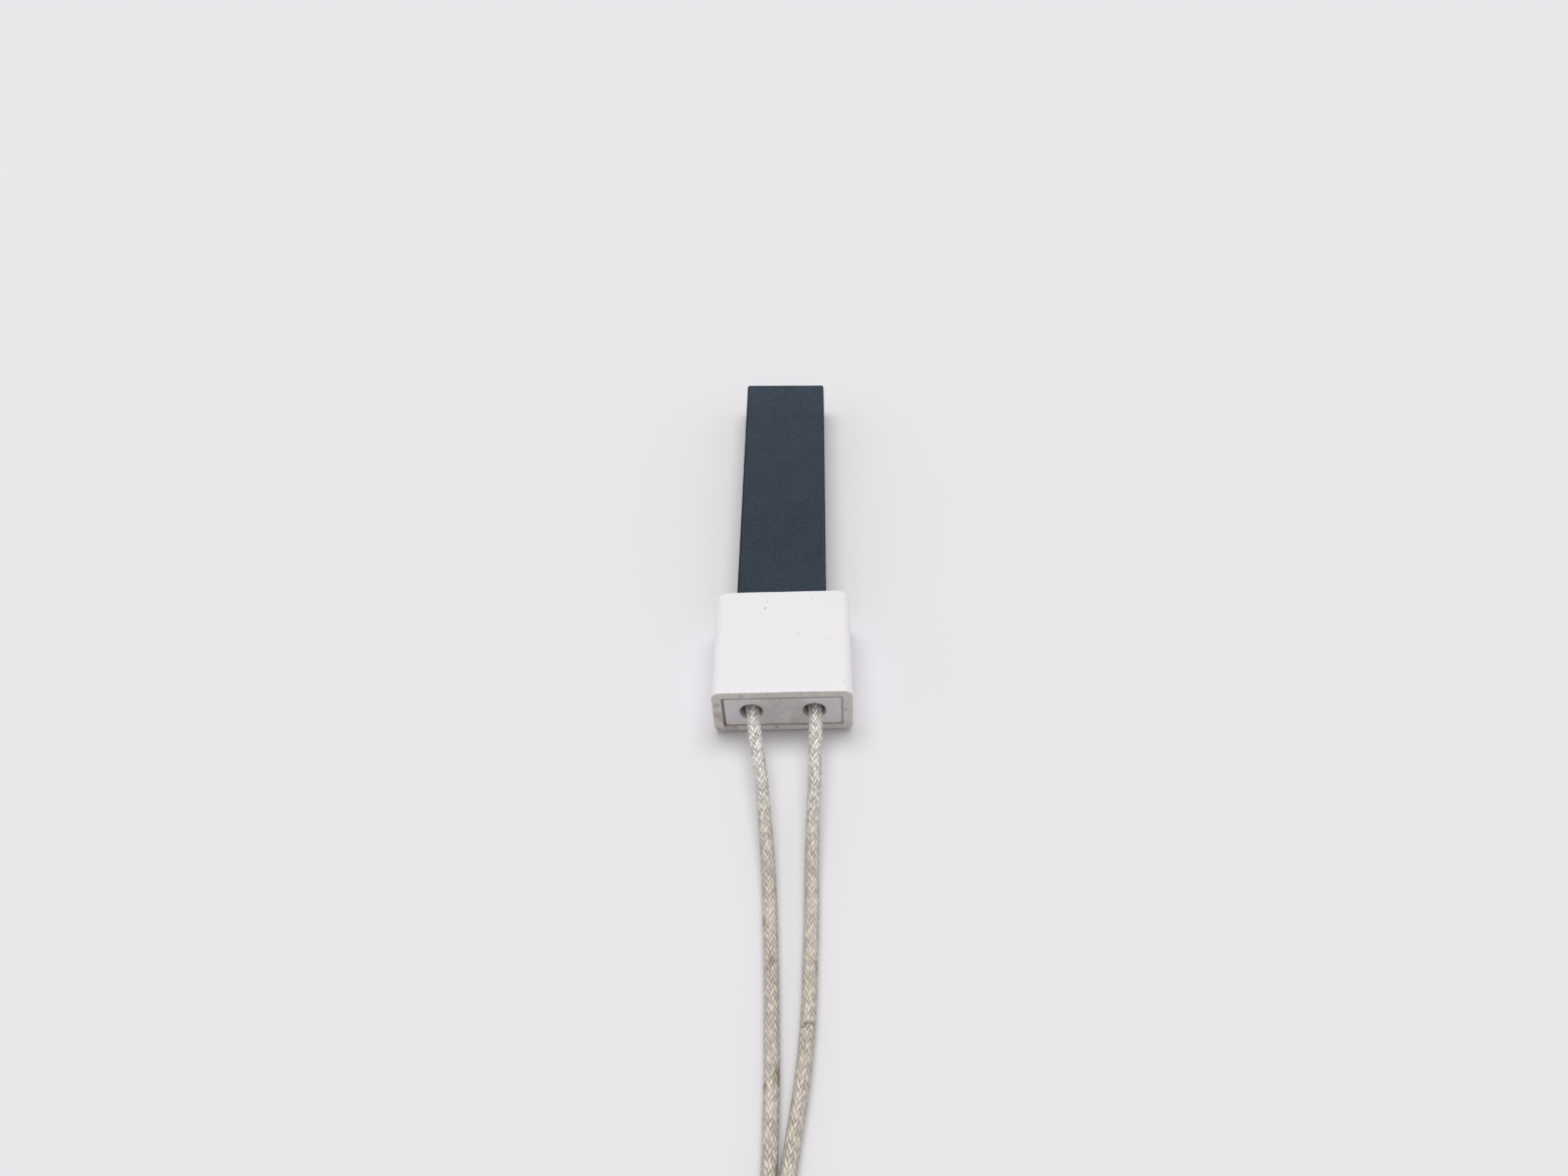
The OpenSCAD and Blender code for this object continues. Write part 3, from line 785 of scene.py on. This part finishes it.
def makePlate(finish, plan):
    reach = (plateHigh[0], plateTall, plan["corner"])
    front, back = plateLow[1], plateHigh[1]
    middle = (front + back) / 2
    radius = plan["hole"] / 2
    steps, edge, holeEdge = plan["around"], plan["edge"], plan["holeEdge"]
    insets = [0.0004, edge, edge * 0.6, edge * 0.25, 0.0]
    spread = [0.27, 0.39, 0.51, 0.63, 0.75, 0.88]
    rings = holedRings(reach, (holeX, 0), radius, steps, insets, spread, True)
    built = bmesh.new()
    for mirror in (1, -1):
        rows = []

        def row(ring, depth=None):
            # a row at that depth, or on the face
            rows.append([(leanIn(mirror * x, midZ + z), depth or face(x, z), midZ + z)
                         for x, z in ring])

        def face(x, z):
            # outer edges and the holes' mouths are eased, and the face is a little uneven
            border = min(reach[0] - x, reach[1] - abs(z))
            mouth = hypot(x - holeX, z) - radius
            ease = roundInset(edge, edge - border) + roundInset(holeEdge, holeEdge - mouth)
            wave = wobble(mirror * x, z, 0.7, 0.0016) * min(1, border / plan["evenEdge"])
            return front + ease + plan["unevenness"] * wave

        for depth in (back, middle, front + holeEdge):
            row(rings[0], depth)
        for wide in (0.15, 0.4, 0.7, 1.0):
            grow = (radius + holeEdge * wide) / radius
            row([(holeX + (x - holeX) * grow, z * grow) for x, z in rings[0]])
        for ring in rings[1:]:
            row(ring)
        for depth in (middle, back):
            row(rings[-1], depth)
        bridge(built, rows, closed=True, order=mirror)
    addBuilt("rear_plate", built, finish, "cover_ceramic", "rear_cover", weld=1e-6)


# cement seam round that plate, and the grouts

seamPlan = {
    "depth": 0.00007,      # below the plate's face
    "wave": 0.00005,
    "grain": 0.0011,
    "innerCorner": 0.0005,
    "outerCorner": 0.00045,
    "steps": (60, 24, 6),
    "pale": rgb(0.60, 0.56, 0.54),
    "brown": rgb(0.20, 0.155, 0.135),
}


def seamFinish(plan):
    finish = Finish("brownSeam")
    x, _, z = finish.split()
    across = (abs(x) - plateHigh[0]).max(abs(z - midZ) - plateTall)
    ragged = finish.noise(700, 4, 0.6)
    left = x.step(-0.0101, -0.0104)
    right = x.step(0.0101, 0.0104)
    width = 0.00008 + left * 0.00016 + (ragged - 0.5) * 0.00014
    line = abs(across - 0.00012 - right * 0.00012 - left * 0.00008).step(width + 0.00006, width)
    bottom = z.step(0.004, 0.0017)
    top = z.step(0.0086, 0.0091)
    fade = 0.62 + left * 0.2 + bottom * 0.3 + top * 0.22 - right * 0.36
    dark = line * fade.min(1.0) * (0.72 + finish.noise(330, 3) * 0.5).min(1.0)
    finish.colour = finish.shade(plan["pale"], 0.86 + ragged * 0.28)
    finish.paint(dark, plan["brown"])
    return finish.surface(0.8, 0.3, (ragged - line * 1.5, 0.00004, 0.6))


def makeSeam(finish, plan):
    back = seamHigh[1]
    face = plateLow[1] + plan["depth"]
    inner = (plateHigh[0], plateTall, plan["innerCorner"])
    outer = (seamHigh[0], seamHigh[2] - midZ, plan["outerCorner"])
    rows = [(1, back), (1, face + 0.0001), (1, face), (0.75, face), (0.5, face), (0.25, face),
            (0, face), (0, face + 0.0001), (0, back)]
    addBand("seam_cement_ring", finish, "cover_cement", plan, inner, outer, rows,
            lambda x, z, t, y: leanIn(x, midZ + z) if t < 0.9 else x)


groutPlan = {
    "corner": 0.0003,
    "wave": 0.00008,
    "grain": 0.0009,
    "steps": (60, 16, 5),
    "colour": rgb(0.70, 0.68, 0.64),
    "pore": rgb(0.34, 0.31, 0.28),
}


def groutFinish(plan):
    finish = Finish("grout")
    grain = finish.noise(1300, 4, 0.6)
    pores = finish.cells(900).step(0.16, 0.05)
    finish.colour = finish.shade(plan["colour"], 0.85 + grain * 0.3)
    finish.paint(pores * 0.5, plan["pore"])
    return finish.surface(0.86, bump=(grain - pores, 0.00006, 0.6))


def makeCollar(finish, plan):
    # grout in the slot round the blade, sunk a little below the block's front
    back, front = slotLow[1], slotHigh[1]
    inner = (bladeHigh[0], bladeHigh[2] - midZ, plan["corner"])
    outer = (slotHigh[0], slotHigh[2] - midZ, plan["corner"])
    rows = [(1, back), (1, front - 0.0002), (1, front), (0.8, front - 0.00008),
            (0.5, front - 0.00014), (0.2, front - 0.00006), (0, front + 0.0001),
            (0, front - 0.0003), (0, back)]
    addBand("slot_grout", finish, "slot_cement", plan, inner, outer, rows,
            lambda x, z, t, y: x + bladeSkew(y) * (1 - t), flip=True)


# heater blade

bladePlan = {
    "edge": 0.0003,
    "tipCorner": 0.0006,
    "chips": 0.00006,      # unevenness of its edges, and how far from them it goes
    "chipReach": 0.0008,
    "skewRoot": -0.00038,  # the blade isn't quite straight in its slot
    "skewTip": 0.00001,
    "slant": 0.0007,       # its end isn't quite square
    "slantFrom": 0.012,
    "wide": 26,            # steps across, through its thickness and along it
    "thick": 6,
    "long": 88,
    "colour": rgb(0.0086, 0.0152, 0.0278),
    "light": rgb(0.035, 0.0525, 0.0735),
    "dark": rgb(0.004, 0.005, 0.006),
    "dust": rgb(0.13, 0.15, 0.18),
    "scratch": rgb(0.10, 0.115, 0.14),
}


def bladeFinish(plan):
    finish = Finish("siliconNitride")
    x, y, _ = finish.split()
    mottle = finish.noise(1900, 4, 0.65)
    cloud = finish.noise(210, 3, 0.55)
    drift = finish.noise(60, 2)
    toTip = y.step(0.02, 0.08)
    blotch = finish.noise(620, 4, 0.7).step(0.5, 0.72) * y.step(0.064, 0.076)
    pale = (mottle * 1.5 + cloud * 0.7 + drift * 0.35 + toTip * 0.2 + blotch * 0.35 - 0.95).clamp()
    finish.colour = finish.mix(pale, plan["colour"], plan["light"])
    # pale dusty grains
    dust = finish.cells(700).step(0.07, 0.03) * cloud.step(0.5, 0.62)
    finish.paint(dust * 0.35, plan["dust"])
    # the edges and end are painted almost black as shade, and one faint scratch runs beside the
    # right one
    side = abs(x + 0.0003 - y * 0.006).step(0.00822, 0.00836)
    end = y - (0.5 - x / (2 * bladeHigh[0])) * plan["slant"]
    tip = end.step(0.07835, 0.07855)
    root = y.step(0.0165, 0.0135)
    edgeNoise = finish.noise(500, 3)
    finish.paint((side.max(tip) * (0.62 + edgeNoise * 0.5)).clamp(), plan["dark"])
    # painted shade on the blade next to the block
    finish.paint(root * 0.5, plan["dark"])
    scratch = abs(x - 0.0079).step(0.00009, 0.00003) * y.step(0.045, 0.03) * y.step(0.012, 0.016)
    finish.paint(scratch * edgeNoise.step(0.35, 0.6) * 0.4, plan["scratch"])
    height = mottle + finish.noise(5200, 2) * 0.5
    return finish.surface(0.58 + cloud * 0.12, 0.2, (height, 0.000012, 0.6))


def bladeSkew(y):
    # how far the blade stands to the side there
    along = (y - frontY) / (bladeHigh[1] - frontY)
    return bladePlan["skewRoot"] + (bladePlan["skewTip"] - bladePlan["skewRoot"]) * along


def bladeSlant(x, y):
    # how much further the blade's end reaches there, all of it on the left
    near = smoothStep((y - bladeHigh[1] + bladePlan["slantFrom"]) / bladePlan["slantFrom"])
    return (0.5 - x / (2 * bladeHigh[0])) * bladePlan["slant"] * near


def makeBlade(finish, plan):
    halfW, halfT = bladeHigh[0], (bladeHigh[2] - bladeLow[2]) / 2
    rootY, tipY = bladeLow[1], bladeHigh[1]
    edge, c, reach = (plan[k] for k in ("edge", "tipCorner", "chipReach"))

    def section(y, w, t, cut):
        # an octagon with its flats divided, anticlockwise from the lower right corner's cut
        corners = [(w, -t + cut), (w, t - cut), (w - cut, t), (-w + cut, t),
                   (-w, t - cut), (-w, -t + cut), (-w + cut, -t), (w - cut, -t)]
        ring = []
        for k, steps in enumerate((plan["thick"], 2, plan["wide"], 2) * 2):
            for n in range(steps):
                x, z = between(corners[k], corners[(k + 1) % 8], n / steps)
                nearEdge = max(0, 1 - (w - abs(x)) / reach) * max(0, 1 - (t - abs(z)) / reach)
                chip = plan["chips"] * (wobble(x * 4, y, z * 4, 0.0011) - 0.35) * nearEdge
                ring.append((x + copysign(chip, x) + bladeSkew(y), y + bladeSlant(x, y),
                             midZ + z + copysign(chip, z)))
        return ring

    rings = [section(rootY, halfW - edge, halfT - edge, edge * 0.6)]
    for t in fractions(plan["long"], 0):
        y = rootY + edge + (tipY - c - rootY - edge) * t
        rings.append(section(y, halfW, halfT, edge))
    for drawn, gone in quarter(6):
        y = tipY - c + c * gone
        rings.append(section(y, halfW - c * drawn, halfT - max(0, y - tipY + edge), edge))
    addSkin("nitride_blade", rings, finish, "blade_ceramic", "heater_blade", sharp=25)


# braided leads' finish

braidPlan = {
    "nearYarn": rgb(0.79, 0.765, 0.715),
    "nearGap": rgb(0.10, 0.095, 0.085),
    "farYarn": rgb(0.615, 0.555, 0.48),
    "farGap": rgb(0.17, 0.145, 0.115),
    "sideShade": rgb(0.34, 0.335, 0.335),
    "grime": rgb(0.34, 0.30, 0.26),
    "stain": rgb(0.135, 0.084, 0.05),
}

# centre, radius, how squashed along the lead and how strong: brown marks on the braid
braidStains = [
    ((-0.0028, -0.0517, 0.0015), 0.0012, 0.8, 1.0),
    ((-0.0015, -0.0582, 0.0024), 0.0012, 0.6, 0.62),
    ((-0.0021, -0.0600, 0.0024), 0.0009, 0.9, 0.68),
    ((-0.0004, -0.0770, 0.0016), 0.0016, 0.75, 0.95),
    ((-0.0024, -0.0785, 0.0015), 0.0013, 1.0, 1.0),
    ((-0.0007, -0.0903, 0.0016), 0.0010, 0.8, 0.85),
    ((0.0055, -0.0596, 0.0016), 0.0011, 0.9, 0.9),
    ((0.0043, -0.0690, 0.0021), 0.0017, 3.4, 1.0),
    ((0.0032, -0.0695, 0.0024), 0.0009, 2.6, 1.0),
    ((0.0049, -0.0511, 0.0024), 0.0009, 0.7, 0.5),
]


def braidFinish(plan, lead):
    finish = Finish("glassBraid")
    x, y, z = finish.split()
    turn, along, _ = finish.split(finish.node("ShaderNodeUVMap", uv_map="lay"))
    n = lead["yarns"]
    lay = along * (n / lead["pitch"])
    u = turn * n - lay
    v = turn * n + lay
    i, j = round(u), round(v)

    def height(phase):
        return (phase * (pi / 2)).cos() * 1.7

    def fibres(across, along, yarn):
        return finish.noise(1.0, 2, at=finish.join(across * 9, along * 0.7, yarn))

    over = height(i + v - 0.5).min(1.0)
    under = height(u + j - 2.5).min(1.0)
    top = over > under
    across = abs(finish.choose(top, v - j, u - i))
    # each yarn's brightness varies at random, both as its tone and as painted glints
    toneAndGlint = finish.random(finish.choose(top, j % n + 20, i % n), finish.choose(top, i, j))
    gap = across.step(0.24, 0.47)
    dip = over.max(under).step(0.75, 0.1)
    # glass fibres run along each yarn
    fibre = finish.choose(top, fibres(v, u, j + 40), fibres(u, v, i))
    # away from the block the braid is browner, and the right lead is duller where it leaves it
    far = along.step(0.012, 0.034)
    dull = x.step(0.0, 0.004) * (1 - far) * 0.05
    light = 0.77 + far * 0.04 - dull + fibre * 0.36 + (toneAndGlint - 0.5) * finish.choose(far, 0.62, 0.5)
    light = light * (0.94 + finish.noise(150, 3, 0.6) * 0.1)
    yarnColour = finish.shade(finish.mix(far, plan["nearYarn"], plan["farYarn"]), light)
    # the gaps between yarns, and where yarns dip under others, are painted dark as shade
    gapColour = finish.mix(far, plan["nearGap"], plan["farGap"])
    patchy = finish.noise(700, 2).step(0.35, 0.65)
    shown = gap * finish.choose(far, 0.92, 0.40 + patchy * 0.32)
    shown = ((shown + dip * 0.5) * (0.55 + patchy * 0.45)).clamp()
    finish.colour = finish.mix(shown, yarnColour, gapColour)
    # the sides are painted greyer than the top as shade
    low = abs(turn - 0.25).step(0.06, 0.24) * far
    finish.paint(low * 0.36, plan["sideShade"])
    grime = finish.noise(320, 3, 0.6).step(0.55, 0.75) * far * 0.3
    finish.paint(grime, plan["grime"])
    ragged = finish.noise(1100, 4, 0.65)
    marks = []
    for (sx, sy, sz), radius, squash, strength in braidStains:
        at = finish.join(x, y * squash, z)
        marks.append(finish.spot(at, (sx, sy * squash, sz), radius, 0.15) * strength)
    finish.paint((strongest(marks) * (ragged * 2.2 - 0.3)).clamp() * 0.95, plan["stain"])
    rough = 0.34 + far * 0.22 + gap * 0.2 + fibre * 0.1
    return finish.surface(rough, 0.55, (fibre * 0.7 - gap, 0.00004, 0.6))


# cable ties round the hanks

tiePlan = {
    "width": 0.0025,
    "thick": 0.0008,
    "edge": 0.00022,
    "headDeep": 0.003,
    "headLong": 0.0044,
    "headTall": 0.0046,
    "rimTall": 0.0012,     # the frame round the head's window
    "rimEnd": 0.0008,
    "slack": 0.00018,      # room beside the tail in the window
    "tail": 0.0015,
    "teeth": 4,
    "toothStep": 0.00036,
    "toothTall": 0.00022,
    "toothDeep": 0.00012,
    "colour": rgb(0.80, 0.79, 0.74),
}


def nylonFinish(plan):
    finish = Finish("naturalNylon")
    flow = finish.noise(260, 3)
    grain = finish.noise(2400, 2)
    finish.colour = finish.shade(plan["colour"], 0.93 + flow * 0.1 + grain * 0.03)
    soft = {"Subsurface Weight": 0.15, "Subsurface Scale": 0.001}
    return finish.surface(0.34 + flow * 0.16, bump=(grain + flow, 0.00001, 0.4), others=soft)


def hullLoop(centres, radius, step):
    # a taut loop of that radius round circles, listed anticlockwise: points and outward directions
    loop = []
    total = len(centres)
    for n in range(total):
        (px, pz), (cx, cz), (nx, nz) = centres[n - 1], centres[n], centres[(n + 1) % total]
        start = atan2(cz - pz, cx - px) - pi / 2
        end = atan2(nz - cz, nx - cx) - pi / 2
        while end < start:
            end += 2 * pi
        steps = max(2, int((end - start) / step))
        for k in range(steps + 1):
            a = start + (end - start) * k / steps
            loop.append((around((cx, cz), radius, a), around((0, 0), 1, a)))
    return loop


def roundedBox(built, low, high, radius, cuts):
    # a box with every edge eased, divided by cuts along each side
    def eased(p):
        core = [min(max(c, l + radius), h - radius) for c, l, h in zip(p, low, high)]
        out = Vector([c - k for c, k in zip(p, core)])
        if out.length < 1e-9:
            return p
        return Vector(core) + out.normalized() * radius if out.length > radius else Vector(p)

    def marks(l, h):
        inner = [l + radius + (h - l - 2 * radius) * k / cuts for k in range(cuts + 1)]
        turns = [radius * (1 - cos(radians(a))) for a in (0, 22.5, 45, 67.5)]
        return [l + t for t in turns] + inner + [h - t for t in reversed(turns)]

    def corner(*values):
        # values are in the order axis, a, b
        p = [0.0, 0.0, 0.0]
        for n, value in enumerate(values):
            p[(axis + n) % 3] = value
        return built.verts.new(eased(p))

    axes = [marks(l, h) for l, h in zip(low, high)]
    for axis in range(3):
        for end in (low, high):
            grid = [[corner(end[axis], pa, pb) for pb in axes[(axis + 2) % 3]]
                    for pa in axes[(axis + 1) % 3]]
            for r0, r1 in zip(grid, grid[1:]):
                for k in range(len(r0) - 1):
                    built.faces.new((r0[k], r1[k], r1[k + 1], r0[k + 1]))


def makeTie(side, finish, plan, lead):
    sign = signs[side]
    low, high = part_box(side + "_hank_tie")
    middle = (low[1] + high[1]) / 2
    radius = lead["diameter"] / 2
    thick = plan["thick"]
    built = bmesh.new()
    # the strap, taut round the three runs
    centres = [(-radius, lead["liftZ"]), (radius, lead["liftZ"]), (-radius / 2, lead["topZ"])]
    section = roundedOutline(thick / 2, plan["width"] / 2, plan["edge"], (2, 6, 3))
    rows = []
    for (u, z), (nu, nz) in hullLoop(centres, radius + thick / 2, radians(6)):
        rows.append([(sign * (lead["hankX"] + u + nu * out), middle + along,
                      max(0.0, z + nz * out)) for out, along in section])
    bridge(built, rows, closed=True)
    # the head, on the outer side, with a frame round its window and the cut tail standing in it
    inU = lead["hankX"] + 2 * radius + thick
    outU = inU + plan["headDeep"]
    midU = inU + plan["headDeep"] / 2
    z0 = high[2] - plan["tail"] - plan["headTall"]
    z1 = z0 + plan["headTall"]
    rim = z1 - plan["rimTall"]
    half = plan["headLong"] / 2
    end = half - plan["rimEnd"]
    slack = thick / 2 + plan["slack"]
    tail = plan["width"] / 2
    tooth = tail * 0.72
    # u, y from the middle and z, each from and to, how far the edges are eased, and cuts
    blocks = [
        (inU - 0.0006, outU, -half, half, z0, z1 - 0.0005, 0.0004, 3),
        (inU, outU, -half, -end, rim, z1, 0.0003, 3),
        (inU, outU, end, half, rim, z1, 0.0003, 3),
        (inU, midU - slack, -half, half, rim, z1, 0.0002, 3),
        (midU + slack, outU, -half, half, rim, z1, 0.0002, 3),
        (midU - thick / 2, midU + thick / 2, -tail, tail, z0 + 0.001, high[2], 0.00015, 3),
    ]
    for k in range(plan["teeth"]):
        z = z1 + 0.0001 + k * plan["toothStep"]
        blocks.append((midU - thick / 2 - plan["toothDeep"], midU, -tooth, tooth,
                       z, z + plan["toothTall"], 0.00008, 2))
    # the strap runs into the head from below and out of its top
    blocks.append((inU - 0.0013, inU + 0.0004, -tail, tail, z0 + 0.0002, z0 + 0.0011, 0.0002, 3))
    for u0, u1, y0, y1, za, zb, ease, cuts in blocks:
        x0, x1 = sorted((sign * u0, sign * u1))
        roundedBox(built, (x0, middle + y0, za), (x1, middle + y1, zb), ease, cuts)
    return addBuilt(side + "_cable_tie", built, finish, "tie_plastic", side + "_hank_tie",
                    weld=1e-7)


# push-on terminals

terminalPlan = {
    "sheet": 0.0004,
    "lap": 0.0001,         # how far its parts run into one another
    "barrel": 0.004,
    "gap": 0.0006,
    "wireBarrel": 0.0036,
    "neck": 0.0028,
    "neckWide": (0.0021, 0.0048),   # from the wire barrel to the socket
    "neckTall": (0.0010, 0.00055),
    "socket": 0.0085,
    "curl": 0.0025,        # height of the socket's rolled edges
    "strand": 0.0018,
    "dimple": 0.0015,
    "dimpleLift": 0.00016,
    "colour": rgb(0.72, 0.70, 0.64),
    "dull": rgb(0.55, 0.52, 0.45),
}

# the metals of the joints inside the block, and of the bared strands
metals = {
    "heater_track": ("sinteredTungsten", rgb(0.20, 0.20, 0.21), rgb(0.13, 0.13, 0.14), 2600, 0.5),
    "contact_pad": ("platedPad", rgb(0.60, 0.58, 0.53), rgb(0.44, 0.41, 0.37), 2200, 0.4),
    "braze": ("silverBraze", rgb(0.74, 0.70, 0.58), rgb(0.52, 0.47, 0.36), 1500, 0.32),
    "nickel_wire": ("drawnNickel", rgb(0.62, 0.59, 0.54), rgb(0.42, 0.39, 0.35), 3800, 0.28, 0.12),
    "crimp_sleeve": ("crimpSleeve", rgb(0.55, 0.54, 0.52), rgb(0.38, 0.37, 0.35), 3000, 0.34, 0.12),
    "conductor": ("tinnedStrand", rgb(0.70, 0.69, 0.67), rgb(0.50, 0.48, 0.45), 5200, 0.3, 0.12),
}


def metalFinish(name, colour, dull, grainScale, rough, alongY=1.0):
    # worn bright metal, with fine lines along y where alongY is small
    finish = Finish(name)
    drawn = finish.node("ShaderNodeMapping", {"Vector": finish.place, "Scale": (1, alongY, 1)})
    lines = finish.noise(grainScale, 3, 0.6, at=drawn)
    cloud = finish.noise(420, 3, 0.55)
    worn = cloud.step(0.45, 0.75)
    finish.colour = finish.shade(finish.mix(worn * 0.7, colour, dull), 0.9 + lines * 0.2)
    rough = rough + worn * 0.18 + lines * 0.1
    return finish.surface(rough, bump=(lines + cloud * 0.5, 0.00001, 0.4),
                          others={"Metallic": 1.0 - worn * 0.15})


def arc(cx, cz, radius, start, end, steps):
    return [around((cx, cz), radius, a) for a in np.radians(np.linspace(start, end, steps + 1))]


def bendSheet(built, stations, thick, count, place):
    # sheet metal: each station is a distance along and the sheet's middle line there
    rows = []
    for along, line in stations:
        mid, _ = resampled(np.array(line), count)
        way = np.gradient(mid, axis=0)
        way /= np.linalg.norm(way, axis=1)[:, None]
        normal = np.stack([-way[:, 1], way[:, 0]], axis=1)
        ring = np.vstack([mid + normal * thick / 2, (mid - normal * thick / 2)[::-1]])
        rows.append([place(u, along, z) for u, z in ring])
    rows = bridge(built, rows)
    last = 2 * count - 1
    for row in (rows[0], rows[-1]):
        for k in range(count - 1):
            built.faces.new((row[k], row[k + 1], row[last - 1 - k], row[last - k]))


def makeTerminal(side, finish, plan, lead):
    sign = signs[side]
    low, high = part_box(side + "_push_on_terminal")
    t, lap = plan["sheet"], plan["lap"]
    built = bmesh.new()

    def place(u, along, z):
        return (sign * (lead["hankX"] + u), high[1] - along, low[2] + z)

    def sheet(start, table, shape, count):
        # each row of the table is a distance from the start, and what the shape is given there
        stations = [(start + along, shape(*values)) for along, *values in table]
        bendSheet(built, stations, t, count, place)

    # insulation grip: wrapped right round the braid, its two ends meeting on top
    def wrap(ease):
        line = arc(0, t + lead["diameter"] / 2, (lead["diameter"] + t) / 2 + ease, 97, 443, 48)
        for n in (0, -1):
            line[n] = (line[n][0], line[n][1] - 0.00012)
        return line

    sheet(0, [(0, 0.00012), (0.00025, 0.00003), (0.0005, 0), (0.0012, 0), (0.002, -0.00002),
              (0.0028, 0), (0.0035, 0), (0.00375, 0.00003), (plan["barrel"], 0.0001)], wrap, 61)

    def trough(wide, tall, corner):
        # an open channel: left wall, floor, right wall
        w = wide / 2
        z = t / 2
        left = arc(-w + corner, z + corner, corner, 180, 270, 5)
        right = arc(w - corner, z + corner, corner, 270, 360, 5)
        return [(-w, z + tall), (-w, z + corner)] + left + right + [(w, z + tall)]

    sheet(plan["barrel"], [(-lap, 0.0021, 0.0009, 0.0005),
                           (plan["gap"] + lap, 0.002, 0.0008, 0.0005)], trough, 31)

    # wire grip: two wings curled into the strands, meeting in a groove
    def wings(ease):
        r = (plan["strand"] + t) / 2 + ease
        z = t + plan["strand"] / 2
        right = (arc(0, z, r, -90, 38, 16) + arc(0.40 * r, z + 0.42 * r, 0.56 * r, 35, 128, 8)
                 + [(0.00005, z + 0.62 * r)])
        return [(-u, w) for u, w in reversed(right)] + right[1:]

    grip = plan["wireBarrel"]
    wireStart = plan["barrel"] + plan["gap"]
    sheet(wireStart, [(0, 0.00012), (0.0003, 0.00002), (0.0008, -0.00001),
                      (grip - 0.0008, -0.00001), (grip - 0.0003, 0.00002), (grip, 0.00012)],
          wings, 61)
    # neck: a channel that opens out to the socket's width
    wide0, wide1 = plan["neckWide"]
    tall0, tall1 = plan["neckTall"]
    neck = [((plan["neck"] + 2 * lap) * t, wide0 + (wide1 - wide0) * smoothStep(t * 1.6 - 0.6),
             tall0 + (tall1 - tall0) * smoothStep(t), 0.0004) for t in fractions(8, 0)]
    neckStart = wireStart + grip
    sheet(neckStart - lap, neck, trough, 31)
    # socket: a flat floor with both edges rolled over on to the tab
    roll = (plan["curl"] - t) / 2
    flat = (high[0] - low[0]) / 2 - plan["curl"] / 2
    socketStart = neckStart + plan["neck"]

    def rolled(ease, way):
        r = roll - max(ease, 0)
        line = ([(flat - 0.0003, t / 2)] + arc(flat, t / 2 + roll, r, -90, 90, 18)
                + arc(0.0002 + t / 2 + roll, t / 2 + roll, r, 90, 176, 9))
        return [(way * u, z) for u, z in line]

    for way in (1, -1):
        eases = [(0, 0.0001), (0.0003, 0), (0.002, 0), (0.004, 0), (0.006, 0), (0.008, 0),
                 (0.0083, -0.00003), (plan["socket"], -0.0001)]
        sheet(socketStart, [(along, ease, way) for along, ease in eases], rolled, 45)
    # the floor, with a dimple in its middle where a tab locks
    reach = (flat, plan["socket"] / 2, 0.00001)
    middle = socketStart + plan["socket"] / 2
    rings = holedRings(reach, (0, 0), plan["dimple"] / 2, 64, [0.0], [0.12, 0.3, 0.6], False)
    lift = plan["dimpleLift"]
    heights = [(0, -0.00002), (0, t + lift), (1, t + lift * 0.6), (2, t), (3, t), (4, t),
               (4, 0.0), (3, 0.0), (2, 0.0), (1, 0.0)]
    rows = [[place(u, middle + w, z) for u, w in rings[n]] for n, z in heights]
    bridge(built, rows, closed=True)
    return addBuilt(side + "_terminal", built, finish, "terminal_metal", side + "_push_on_terminal")


# bared strands in each terminal

strandPlan = {
    "thick": 0.00036,
    "outer": 12,           # strands in the two layers round the middle one
    "inner": 6,
    "turns": 0.55,
    "cut": 0.00012,        # unevenness of their cut ends
    "sides": 8,
    "steps": 28,
}


def makeStrands(side, finish, plan):
    low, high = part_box(side + "_stripped_end")
    centre = ((low[0] + high[0]) / 2, (low[2] + high[2]) / 2)
    outer = (high[0] - low[0]) / 2
    built = bmesh.new()
    r = plan["thick"] / 2
    sides = [2 * pi * m / plan["sides"] for m in range(plan["sides"])]
    layers = [(outer - r, plan["outer"], 1), (outer - 3.1 * r, plan["inner"], -1), (0.0, 1, 1)]
    for reach, count, way in layers:
        for n in range(count):
            rows = []
            for t in fractions(plan["steps"], 0):
                middle = around(centre, reach, 2 * pi * (n / count + way * plan["turns"] * t))
                y = low[1] + (high[1] - low[1]) * t
                if t == 0:
                    y = max(low[1], y + plan["cut"] * sin(n * 5.1))
                rows.append([(x, y, z) for x, z in (around(middle, r, b) for b in sides)])
            rows = bridge(built, rows)
            built.faces.new(rows[0])
            built.faces.new(rows[-1])
    return addBuilt(side + "_bared_strands", built, finish, "strand_metal", side + "_stripped_end")


# everything in place

makeBlock(ceramicFinish(blockPlan), blockPlan)
makePlate(plateFinish(platePlan), platePlan)
makeSeam(seamFinish(seamPlan), seamPlan)
makeBlade(bladeFinish(bladePlan), bladePlan)
print("block, plate, seam and blade")

grout = groutFinish(groutPlan)
makeCollar(grout, groutPlan)
innerFinishes = {kind: metalFinish(*metal) for kind, metal in metals.items()}
innerFinishes["cement_fill"] = grout
for kind, finish in innerFinishes.items():
    for node in (kind, "left_" + kind, "right_" + kind):
        part = bpy.data.objects.get(node)
        if part:
            part.data.materials.clear()
            part.data.materials.append(finish)
print("joints inside the block")

glassBraid = braidFinish(braidPlan, leadPlan)
nylon = nylonFinish(tiePlan)
brass = metalFinish("tinnedBrass", terminalPlan["colour"], terminalPlan["dull"], 2400, 0.26, 0.12)
for side in signs:
    lead, path, exit = makeLead(side, glassBraid, leadPlan)
    onIt = [makeTie(side, nylon, tiePlan, leadPlan),
            makeTerminal(side, brass, terminalPlan, leadPlan),
            makeStrands(side, innerFinishes["conductor"], strandPlan)]
    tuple(exit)
    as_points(path)
    print(side, "lead, tie and terminal")
